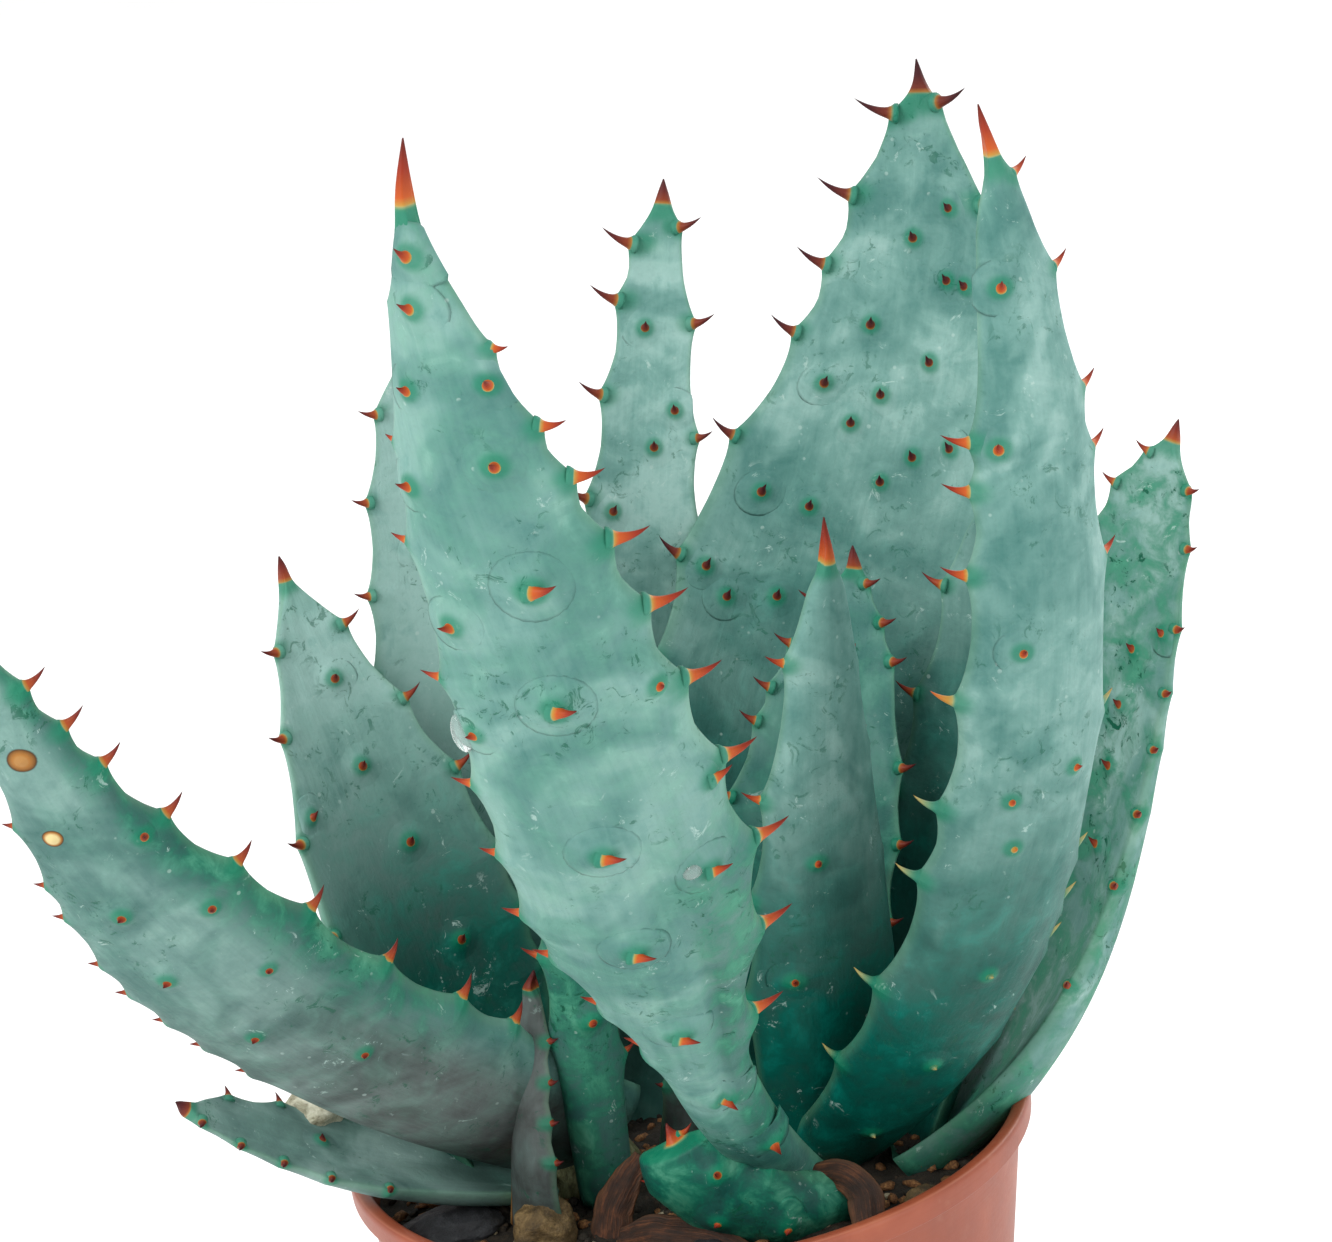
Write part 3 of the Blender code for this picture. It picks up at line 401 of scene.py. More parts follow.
class Nodes:
    """Short names for building a shader's node tree."""

    def __init__(self, name):
        self.material = bpy.data.materials.new(name)
        self.material.use_nodes = True
        self.tree = self.material.node_tree
        self.shader = self.tree.nodes["Principled BSDF"]

    def link(self, source, socket):
        self.tree.links.new(source, socket)

    def put(self, socket, value):
        if isinstance(value, bpy.types.NodeSocket):
            self.link(value, socket)
        elif isinstance(value, tuple) and len(value) == 3 and socket.type == "RGBA":
            socket.default_value = (*value, 1.0)
        else:
            socket.default_value = value

    def attribute(self, name):
        node = self.tree.nodes.new("ShaderNodeAttribute")
        node.attribute_name = name
        return node.outputs["Vector"]

    def place(self):
        """Object coordinates in millimetres."""
        coordinates = self.tree.nodes.new("ShaderNodeTexCoord").outputs["Object"]
        return self.vector("SCALE", coordinates, scale=1 / MM)

    def vector(self, operation, a, b=None, scale=None):
        node = self.tree.nodes.new("ShaderNodeVectorMath")
        node.operation = operation
        self.put(node.inputs[0], a)
        if b is not None:
            self.put(node.inputs[1], b)
        if scale is not None:
            self.put(node.inputs["Scale"], scale)
        return node.outputs["Vector"]

    def split(self, vector):
        node = self.tree.nodes.new("ShaderNodeSeparateXYZ")
        self.link(vector, node.inputs[0])
        return node.outputs["X"], node.outputs["Y"], node.outputs["Z"]

    def noise(self, vector, scale, detail=3.0, rough=0.55, distortion=0.0):
        node = self.tree.nodes.new("ShaderNodeTexNoise")
        self.link(vector, node.inputs["Vector"])
        node.inputs["Scale"].default_value = scale
        node.inputs["Detail"].default_value = detail
        node.inputs["Roughness"].default_value = rough
        node.inputs["Distortion"].default_value = distortion
        return node.outputs["Fac"]

    def cells(self, vector, scale):
        node = self.tree.nodes.new("ShaderNodeTexVoronoi")
        self.link(vector, node.inputs["Vector"])
        node.inputs["Scale"].default_value = scale
        return node.outputs["Distance"]

    def math(self, operation, a, b, clamp):
        node = self.tree.nodes.new("ShaderNodeMath")
        node.operation = operation
        node.use_clamp = clamp
        self.put(node.inputs[0], a)
        self.put(node.inputs[1], b)
        return node.outputs[0]

    def plus(self, a, b, clamp=False):
        return self.math("ADD", a, b, clamp)

    def minus(self, a, b):
        return self.math("SUBTRACT", a, b, False)

    def times(self, a, b):
        return self.math("MULTIPLY", a, b, False)

    def sway(self, value, amount):
        """A noise value moved to swing about zero, by half the amount each way."""
        return self.times(self.minus(value, 0.5), amount)

    def span(self, value, low, high, to_low=0.0, to_high=1.0):
        node = self.tree.nodes.new("ShaderNodeMapRange")
        node.interpolation_type = "SMOOTHSTEP"
        for name, given in (("Value", value), ("From Min", low), ("From Max", high),
                            ("To Min", to_low), ("To Max", to_high)):
            self.put(node.inputs[name], given)
        return node.outputs["Result"]

    def mix(self, factor, a, b, blend="MIX"):
        node = self.tree.nodes.new("ShaderNodeMix")
        node.data_type = "RGBA"
        node.blend_type = blend
        self.put(node.inputs["Factor"], factor)
        self.put(node.inputs["A"], a)
        self.put(node.inputs["B"], b)
        return node.outputs["Result"]

    def ramp(self, value, stops):
        node = self.tree.nodes.new("ShaderNodeValToRGB")
        elements = node.color_ramp.elements
        while len(elements) < len(stops):
            elements.new(0.5)
        for element, (position, colour) in zip(elements, stops):
            element.position = position
            element.color = (*colour, 1.0)
        self.link(value, node.inputs["Fac"])
        return node.outputs["Color"]

    def bump(self, height, strength, distance_mm):
        node = self.tree.nodes.new("ShaderNodeBump")
        node.inputs["Strength"].default_value = strength
        node.inputs["Distance"].default_value = distance_mm * MM
        self.link(height, node.inputs["Height"])
        return node.outputs["Normal"]

    def finish(self, colour, roughness, normal=None, **constants):
        self.put(self.shader.inputs["Base Color"], colour)
        self.put(self.shader.inputs["Roughness"], roughness)
        if normal is not None:
            self.link(normal, self.shader.inputs["Normal"])
        for name, value in constants.items():
            self.shader.inputs[name.replace("_", " ")].default_value = value
        return self.material


def leaf_material():
    """Waxy blue-green skin. The vector attributes say how teal, mauve and green a point is (tint; the
    teal of the foot is partly painted shade), how pale, how near a spine and how far up it (spot), and
    how dark its spines are (mark)."""
    n = Nodes("waxy_leaf")
    teal, mauve, green = n.split(n.attribute("tint"))
    pale, halo, spine = n.split(n.attribute("spot"))
    dark, scar, edge = n.split(n.attribute("mark"))
    at = n.place()
    grain = n.attribute("grain")
    broad = n.noise(at, 0.045, 3.0, 0.6, 0.6)
    cloud = n.noise(at, 0.16, 5.0, 0.62, 0.4)
    fine = n.noise(at, 1.1, 4.0, 0.6)
    streak = n.noise(n.vector("MULTIPLY", grain, (1.0, 1.0, 0.06)), 0.9, 3.0, 0.6)

    bloom = n.plus(n.times(n.span(broad, 0.38, 0.62), 0.45), pale)
    bloom = n.plus(bloom, n.sway(cloud, 1.15))
    bloom = n.plus(bloom, n.sway(streak, 0.28), True)
    wax = n.ramp(bloom, ((0.0, (0.035, 0.14, 0.122)), (0.35, (0.08, 0.205, 0.182)),
                         (0.7, (0.15, 0.3, 0.268)), (1.0, (0.26, 0.42, 0.385))))
    lilac = n.ramp(bloom, ((0.0, (0.045, 0.05, 0.048)), (0.5, (0.1, 0.12, 0.116)),
                           (1.0, (0.18, 0.23, 0.22))))
    skin = n.mix(mauve, wax, lilac)
    # Saturated teal of the leaf foot, darkest in its lowest tones: partly the leaf's own colour, partly
    # painted shade inside the rosette.
    teal_foot_shaded = n.ramp(cloud, ((0.3, (0.0, 0.04, 0.03)), (0.55, (0.0, 0.085, 0.064)),
                           (0.75, (0.0, 0.15, 0.115))))
    moss = n.ramp(cloud, ((0.3, (0.001, 0.055, 0.022)), (0.5, (0.003, 0.15, 0.08)),
                          (0.7, (0.07, 0.27, 0.18))))
    # Mask of the teal foot and its painted shade, from the tint attribute; it also makes the foot a little
    # glossier.
    teal_foot_and_shade = n.plus(teal, n.sway(cloud, 0.35), True)
    skin = n.mix(teal_foot_and_shade, skin, teal_foot_shaded)
    greening = n.times(green, n.span(cloud, 0.36, 0.66))
    skin = n.mix(greening, skin, moss)

    rubbed = n.noise(at, 0.34, 6.0, 0.72, 1.2)
    rub_where = n.span(n.noise(at, 0.07, 2.0, 0.5), 0.46, 0.58)
    rubs = n.times(n.span(rubbed, 0.57, 0.63), rub_where)
    rubs = n.times(rubs, n.plus(0.5, n.times(green, 0.5)))
    skin = n.mix(rubs, skin, (0.004, 0.09, 0.05))
    chalk = n.noise(at, 0.3, 7.0, 0.75, 0.8)
    chalk_where = n.span(n.noise(at, 0.09, 2.0, 0.5), 0.48, 0.6)
    stains = n.times(n.span(chalk, 0.6, 0.66), chalk_where)
    skin = n.mix(n.times(stains, 0.7), skin, (0.36, 0.5, 0.46))
    flecks = n.span(n.cells(at, 0.35), 0.16, 0.1)
    flecks = n.times(flecks, n.span(n.noise(at, 0.2, 1.0), 0.6, 0.66))
    skin = n.mix(n.times(flecks, 0.4), skin, (0.4, 0.52, 0.48))
    speck = n.plus(0.86, n.times(fine, 0.28))
    skin = n.mix(1.0, skin, n.mix(speck, (0.0, 0.0, 0.0), (1.0, 1.0, 1.0)), "MULTIPLY")

    skin = n.mix(n.times(edge, 0.3), skin, (0.11, 0.25, 0.14))
    near = n.plus(halo, n.sway(cloud, 0.25))
    skin = n.mix(n.span(near, 0.2, 0.7, 0.0, 0.68), skin, (0.002, 0.17, 0.09))
    skin = n.mix(n.span(near, 0.82, 1.02, 0.0, 0.8), skin, (0.17, 0.26, 0.05))
    scab = n.ramp(scar, ((0.25, (0.05, 0.022, 0.008)), (0.6, (0.33, 0.14, 0.03)),
                         (0.95, (0.62, 0.5, 0.24))))
    skin = n.mix(n.span(scar, 0.12, 0.3), skin, scab)

    warm = n.ramp(spine, ((0.0, (0.2, 0.38, 0.2)), (0.09, (0.42, 0.22, 0.04)), (0.24, (0.46, 0.085, 0.015)),
                          (0.6, (0.27, 0.028, 0.01)), (1.0, (0.08, 0.01, 0.008))))
    brown = n.ramp(spine, ((0.0, (0.13, 0.24, 0.11)), (0.09, (0.26, 0.1, 0.02)), (0.24, (0.13, 0.022, 0.012)),
                           (0.6, (0.055, 0.01, 0.012)), (1.0, (0.025, 0.006, 0.009))))
    horn = n.mix(dark, warm, brown)
    skin = n.mix(n.span(spine, 0.01, 0.06), skin, horn)

    roughness = n.minus(0.56, n.times(teal_foot_and_shade, 0.13))
    roughness = n.plus(roughness, n.sway(fine, 0.16))
    roughness = n.minus(roughness, n.times(n.span(spine, 0.01, 0.1), 0.12))
    height = n.plus(n.times(fine, 0.35), n.times(cloud, 0.9))
    height = n.plus(height, n.times(streak, 0.4))
    height = n.minus(height, n.times(rubs, 0.25))
    normal = n.bump(height, 0.5, 0.5)
    return n.finish(skin, roughness, normal, Specular_IOR_Level=0.16)


def water_material():
    n = Nodes("water")
    return n.finish((0.92, 0.98, 0.97), 0.03, None, Transmission_Weight=0.85, IOR=1.33)


def plastic_material():
    """Terracotta-coloured plastic with turning marks, mould dust and a painted highlight along the rim's top
    edge.
    """
    n = Nodes("pot_plastic")
    at = n.place()
    around = n.noise(n.vector("MULTIPLY", at, (0.02, 0.02, 1.0)), 2.2, 3.0, 0.6)
    cloud = n.noise(at, 0.06, 4.0, 0.6, 0.5)
    fine = n.noise(at, 1.6, 3.0, 0.6)
    colour = n.ramp(cloud, ((0.3, (0.22, 0.045, 0.018)), (0.55, (0.28, 0.06, 0.024)),
                            (0.75, (0.34, 0.085, 0.036))))
    dust = n.times(n.span(n.noise(at, 0.2, 6.0, 0.7), 0.55, 0.68), 0.08)
    colour = n.mix(dust, colour, (0.48, 0.3, 0.2))
    # Painted highlight: a lighter colour along the rim's rounded top edge.
    rim_highlight = n.times(n.span(n.split(n.attribute("mark"))[0], 0.4, 1.0), 0.35)
    colour = n.mix(rim_highlight, colour, (0.5, 0.2, 0.12))
    roughness = n.plus(0.36, n.times(fine, 0.14))
    height = n.plus(n.times(around, 0.7), n.times(fine, 0.3))
    return n.finish(colour, roughness, n.bump(height, 0.25, 0.2), Specular_IOR_Level=0.45)


def soil_material():
    n = Nodes("potting_soil")
    at = n.place()
    lump = n.noise(at, 0.35, 6.0, 0.7)
    fine = n.noise(at, 2.2, 4.0, 0.7)
    kind = n.split(n.attribute("mark"))[0]
    dark = n.ramp(lump, ((0.3, (0.006, 0.0055, 0.004)), (0.55, (0.022, 0.016, 0.009)),
                         (0.75, (0.07, 0.042, 0.02))))
    bark = n.ramp(fine, ((0.3, (0.08, 0.03, 0.009)), (0.55, (0.24, 0.105, 0.033)),
                         (0.75, (0.5, 0.27, 0.1))))
    grit = n.ramp(fine, ((0.3, (0.22, 0.17, 0.09)), (0.7, (0.6, 0.54, 0.38))))
    colour = n.mix(n.span(kind, 0.2, 0.5), dark, bark)
    colour = n.mix(n.span(kind, 0.7, 0.95), colour, grit)
    height = n.plus(n.times(lump, 1.0), n.times(fine, 0.5))
    return n.finish(colour, n.plus(0.62, n.times(fine, 0.35)), n.bump(height, 0.9, 0.8))


def stone_material(name, low, middle, high, scale, rough):
    n = Nodes(name)
    at = n.place()
    cloud = n.noise(at, scale, 6.0, 0.68, 0.6)
    fine = n.noise(at, 2.6, 4.0, 0.7)
    layers = n.noise(n.vector("MULTIPLY", at, (0.25, 0.25, 1.6)), 0.7, 4.0, 0.6)
    colour = n.ramp(cloud, ((0.3, low), (0.52, middle), (0.75, high)))
    pits = n.span(n.cells(at, 0.9), 0.12, 0.3)
    colour = n.mix(n.minus(0.45, n.times(pits, 0.45)), colour, low)
    height = n.plus(n.times(layers, 0.8), n.times(fine, 0.6))
    roughness = n.plus(rough, n.times(fine, 0.2))
    return n.finish(colour, roughness, n.bump(height, 0.8, 0.6))


def dried_material():
    """Papery dead leaf: brown fibres with near-black folds and paler torn edges."""
    n = Nodes("dried_leaf")
    at = n.place()
    fibre = n.noise(n.vector("MULTIPLY", n.attribute("grain"), (1.0, 1.0, 0.08)), 1.8, 5.0, 0.7)
    cloud = n.noise(at, 0.3, 4.0, 0.6)
    edge = n.split(n.attribute("mark"))[0]
    both = n.plus(n.times(fibre, 0.65), n.times(cloud, 0.35))
    colour = n.ramp(both, ((0.34, (0.007, 0.004, 0.002)), (0.5, (0.04, 0.014, 0.005)),
                           (0.62, (0.15, 0.05, 0.017)), (0.76, (0.32, 0.15, 0.06))))
    colour = n.mix(n.times(edge, 0.4), colour, (0.3, 0.13, 0.05))
    return n.finish(colour, 0.72, n.bump(fibre, 0.9, 0.7))


def stem_material():
    n = Nodes("stem")
    at = n.place()
    fibre = n.noise(n.vector("MULTIPLY", at, (1.0, 1.0, 0.15)), 1.2, 5.0, 0.7)
    colour = n.ramp(fibre, ((0.3, (0.05, 0.04, 0.015)), (0.5, (0.16, 0.17, 0.07)),
                            (0.7, (0.3, 0.33, 0.19))))
    return n.finish(colour, 0.7, n.bump(fibre, 0.8, 0.6))


# ---- Leaves -------------------------------------------------------------------------------------

FRONT_LARGE = "leaf_front_large"
RIGHT_LARGE = "leaf_right_large"
SWEEPING = "leaf_left_sweeping"
PINK_EDGED = "leaf_pink_edged"
STRONG_TIPPED = ("leaf_back_large", "leaf_back_centre")

AROUND = 60
STATION_STEP = 1.7
STATION_GAP = 0.2
LAST_STATION = 0.9995
POINT_WIDTH = 0.2
DISC_RINGS = 12
DISC_AROUND = 24
DISC_DEPTH = 0.8
DISC_EDGE = 0.985
HORN_RINGS = 14
HORN_AROUND = 14
HORN_SUNK = 0.9
MARGIN_SUNK = 0.9
LONG_PRICKLE = 3.0
TOOTH_NEAR = (-3.6, -2.5, -1.7, -1.1, -0.6, -0.25, 0.0, 0.25, 0.6, 1.1, 1.7, 2.5, 3.6)


class LeafShape:
    """Where every point of a leaf lies, from its few growth values."""

    SAMPLES = 192

    def __init__(self, leaf):
        self.leaf = leaf
        at = np.linspace(0.0, 1.0, self.SAMPLES + 1)
        lean = np.radians(through_three(leaf.lean, at))
        bearing = np.radians(through_three(leaf.bearing, at))
        self.along = np.stack([np.sin(lean) * np.cos(bearing), np.sin(lean) * np.sin(bearing),
                               np.cos(lean)], axis=1)
        inner = np.stack([-np.cos(lean) * np.cos(bearing), -np.cos(lean) * np.sin(bearing),
                          np.sin(lean)], axis=1)
        roll = np.radians(leaf.roll[0] + (leaf.roll[1] - leaf.roll[0]) * at)[:, None]
        self.inner = inner * np.cos(roll) + np.cross(self.along, inner) * np.sin(roll)
        self.across = np.cross(self.along, self.inner)
        steps = (self.along[1:] + self.along[:-1]) / 2 * (leaf.length / self.SAMPLES)
        foot = np.array([leaf.crown[0] + leaf.foot[0], leaf.crown[1] + leaf.foot[1],
                         SOIL_LEVEL + leaf.rise])
        self.middle = foot + np.concatenate([np.zeros((1, 3)), np.cumsum(steps, axis=0)])
        self.spine_start = 1.0 - leaf.spine / leaf.length

    def frame(self, t):
        """Middle, along, across and inner directions at fractions of the length."""
        x = np.clip(t, 0.0, 1.0) * self.SAMPLES
        i = np.minimum(x.astype(int), self.SAMPLES - 1)
        u = (x - i)[:, None]
        middle, along, across, inner = (
            track[i] * (1 - u) + track[i + 1] * u
            for track in (self.middle, self.along, self.across, self.inner)
        )
        return middle, unit(along), unit(across), unit(inner)

    def half_width(self, t):
        stations = (*WIDTH_STATIONS, self.spine_start, 1.0)
        return smooth_through(stations, (*self.leaf.widths, SPINE_BASE, POINT_WIDTH), t) / 2

    def thickness(self, t):
        stations = (*THICKNESS_STATIONS, self.spine_start, 1.0)
        values = [self.leaf.thickness * share for share in THICKNESS_SHAPE] + [SPINE_BASE, POINT_WIDTH]
        return smooth_through(stations, values, t)

    def curl(self, t):
        return np.radians(self.leaf.curl[0] + (self.leaf.curl[1] - self.leaf.curl[0]) * t)

    def surface(self, t, s, side):
        """Surface points: s runs from -1 at the left margin to 1 at the right one, and side is
        1 on the inner face and -1 on the outer one."""
        middle, _, across, inner = self.frame(t)
        curl = self.curl(t)[:, None]
        half = self.half_width(t)[:, None]
        s = s[:, None]
        sheet = across * (half * np.sin(curl * s) / np.sin(curl))
        sheet = sheet - inner * (half * (np.cos(curl * s) - np.cos(curl)) / np.sin(curl))
        normal = inner * np.cos(curl * s) - across * np.sin(curl * s)
        full = self.thickness(t)[:, None] * (1 - np.abs(s) ** 2.4).clip(0) ** 0.6
        lift = np.where(side[:, None] > 0, 0.25 * full, -0.75 * full)
        return middle + sheet + normal * lift

    def skin(self, t, s, side):
        """Surface points with the blade's shallow folds."""
        fold = np.array([noise.noise(Vector((a * 1.8 + self.leaf.length, b * 2.4, c * 2.0)))
                         for a, b, c in zip(t, s, side)])
        _, _, _, inner = self.frame(t)
        body = (1 - np.abs(s) ** 3) * smoothstep(0.0, 0.12, t) * (1 - smoothstep(0.86, 0.97, t))
        dent = 0.38 * fold * body
        if self.leaf.name == FRONT_LARGE:
            crease = np.exp(-(((s + 0.3 + 0.12 * np.sin(t * 22)) / 0.11) ** 2))
            reach = smoothstep(0.1, 0.22, t) * (1 - smoothstep(0.42, 0.6, t))
            dent += 1.3 * crease * reach * (side < 0)
        return self.surface(t, s, side) + inner * dent[:, None]

    def margin_out(self, t, s):
        _, _, across, inner = self.frame(t)
        curl = self.curl(t)[:, None]
        return across * (np.cos(curl) * s) + inner * np.sin(curl)

    def skin_frame(self, t, s, side):
        """A point, its normal and its two tangents, along the leaf and across it."""
        step_t, step_s = 0.6 / self.leaf.length, 0.02
        ts = np.array([t, t + step_t, t - step_t, t, t])
        ss = np.array([s, s, s, s + step_s, s - step_s])
        p = self.skin(ts, ss, np.full(5, float(side)))
        along = unit(p[1] - p[2])
        across = unit(p[3] - p[4])
        normal = unit(np.cross(along, across))
        _, _, _, inner = self.frame(np.array([t]))
        if normal @ (inner[0] * side) < 0:
            normal = -normal
        return p[0], normal, along, across


def tooth_plan(leaf):
    """Every marginal tooth as (station, side, size): sizes vary a little, and shrink near the foot."""
    plan = []
    for s, teeth, size in ((-1, leaf.left_teeth, leaf.tooth[0]), (1, leaf.right_teeth, leaf.tooth[1])):
        for k, t in enumerate(teeth):
            vary = 1 + 0.16 * noise.noise(Vector((t * 40, s * 3.0, leaf.length * 0.1 + k)))
            shrink = 0.75 + 0.25 * float(smoothstep(0.0, 0.3, t))
            if leaf.name == FRONT_LARGE:
                shrink *= 1.15 - 0.75 * float(smoothstep(0.74, 0.9, t))
            if leaf.name in STRONG_TIPPED:
                shrink *= 1.0 + 0.35 * float(smoothstep(0.7, 0.9, t))
            plan.append((t, s, size * vary * shrink))
    return plan


def ripeness(leaf, t):
    """Young spines low on the large right leaf are still pale green."""
    if leaf.name != RIGHT_LARGE:
        return 1.0
    return 0.07 + 0.93 * float(smoothstep(0.36, 0.5, t))


def tooth_flare(size):
    """How far the margin rises towards a tooth."""
    return 0.42 * size + 0.6


def add_horn(part, base, direction, bend, length, radius, halo, dark, grain, tint, pale, ripe):
    """A curved thorn with a flared foot that sinks into the skin."""
    side = np.cross(direction, bend)
    if np.linalg.norm(side) < 0.1:
        side = np.cross(direction, np.array([0.3, 0.2, 1.0]))
    side = unit(side)
    up = np.cross(side, direction)
    rows, spots = [], []
    for k in range(HORN_RINGS):
        u = k / (HORN_RINGS - 1)
        x = -HORN_SUNK + (length + HORN_SUNK) * u
        v = max(x, 0.0) / length
        foot = 0.5 * math.exp(-max(x, -0.3) / (0.5 * radius + 0.2)) * (1 - u)
        r = radius * (max(1 - v, 0.0) ** 0.85 + foot)
        centre = base + direction * x + bend * (0.35 * length * v * v)
        angle = np.linspace(0, 2 * np.pi, HORN_AROUND, endpoint=False)
        ring = centre + np.outer(np.cos(angle), side) * r + np.outer(np.sin(angle), up) * r
        rows.append(ring)
        spots += [[pale, halo, ripe * float(smoothstep(0.02, 0.12, v) * 0.08 + 0.92 * v)]] * HORN_AROUND
    points = np.concatenate(rows)
    tip = base + direction * (length + 0.25) + bend * (0.37 * length)
    faces = grid_faces(HORN_RINGS, HORN_AROUND)
    last = (HORN_RINGS - 1) * HORN_AROUND
    top = HORN_RINGS * HORN_AROUND
    for j in range(HORN_AROUND):
        faces.append((top, last + j, last + (j + 1) % HORN_AROUND))
    for j in range(HORN_AROUND):
        faces.append((top + 1, (j + 1) % HORN_AROUND, j))
    points = np.concatenate([points, tip[None], (base - direction)[None]])
    spots += [[pale, halo, ripe], [pale, halo, 0.0]]
    part.add(points, faces, 0, tint=tint, spot=np.array(spots), mark=(dark, 0.0, 0.0), grain=grain)


def skin_disc(shape, t, s, side, reach, power):
    """Rings of points on a leaf's skin around one point, with their distances from it."""
    half = float(shape.half_width(np.array([t]))[0])
    radii = reach * (np.arange(1, DISC_RINGS) / (DISC_RINGS - 1)) ** power
    angle = 2 * np.pi * np.arange(DISC_AROUND) / DISC_AROUND
    ts = t + np.outer(radii, np.sin(angle)).ravel() / shape.leaf.length
    ss = s + np.outer(radii, np.cos(angle)).ravel() / half
    ts = np.concatenate([[t], ts, [t]])
    ss = np.clip(np.concatenate([[s], ss, [s]]), -DISC_EDGE, DISC_EDGE)
    rs = np.concatenate([[0.0], np.repeat(radii, DISC_AROUND), [0.0]])
    points = shape.skin(ts, ss, np.full(len(ts), float(side)))
    grain = np.stack([ss * half, np.full(len(ts), side * 9.0), ts * shape.leaf.length], axis=1)
    return points, ts, ss, rs, grain


def add_prickle(part, shape, skin, t, s, side, length, tints):
    """A face prickle on a low swelling that follows the skin."""
    centre, normal, along, across = shape.skin_frame(t, s, side)
    reach = 3.2 + 0.5 * length
    swell = 0.55 + 0.28 * length
    bump = 1.5 + 0.42 * length
    points, ts, ss, rs, grain = skin_disc(shape, t, s, side, reach, 1.15)
    rise = swell * np.exp(-((rs / bump) ** 2) * 1.4)
    rise = rise - 0.10 * smoothstep(0.7, 1.0, rs / reach) + 0.04
    rise[-1] = -DISC_DEPTH
    points = points + normal * rise[:, None]
    halo = np.exp(-((rs / (reach * 0.46)) ** 2)) * (1 - smoothstep(0.75, 1.0, rs / reach))
    tint, pale = tints(ts, ss)
    spot = np.stack([pale, halo, np.zeros(len(ts))], axis=1)
    part.add(points, dome_faces(DISC_RINGS, DISC_AROUND), 0, tint=tint, spot=spot,
             mark=(skin.dark_spines, 0.0, 0.0), grain=grain)
    direction = unit(normal + along * 0.22)
    if shape.leaf.name == FRONT_LARGE and side < 0 and length > LONG_PRICKLE:
        direction = unit(normal * 0.55 - across - along * 0.1)
    base = centre + normal * (swell * 0.75)
    add_horn(part, base, direction, along, length, 0.45 + 0.1 * length, 0.75, skin.dark_spines,
             grain[0], tint[0], float(pale[0]), ripeness(shape.leaf, t))


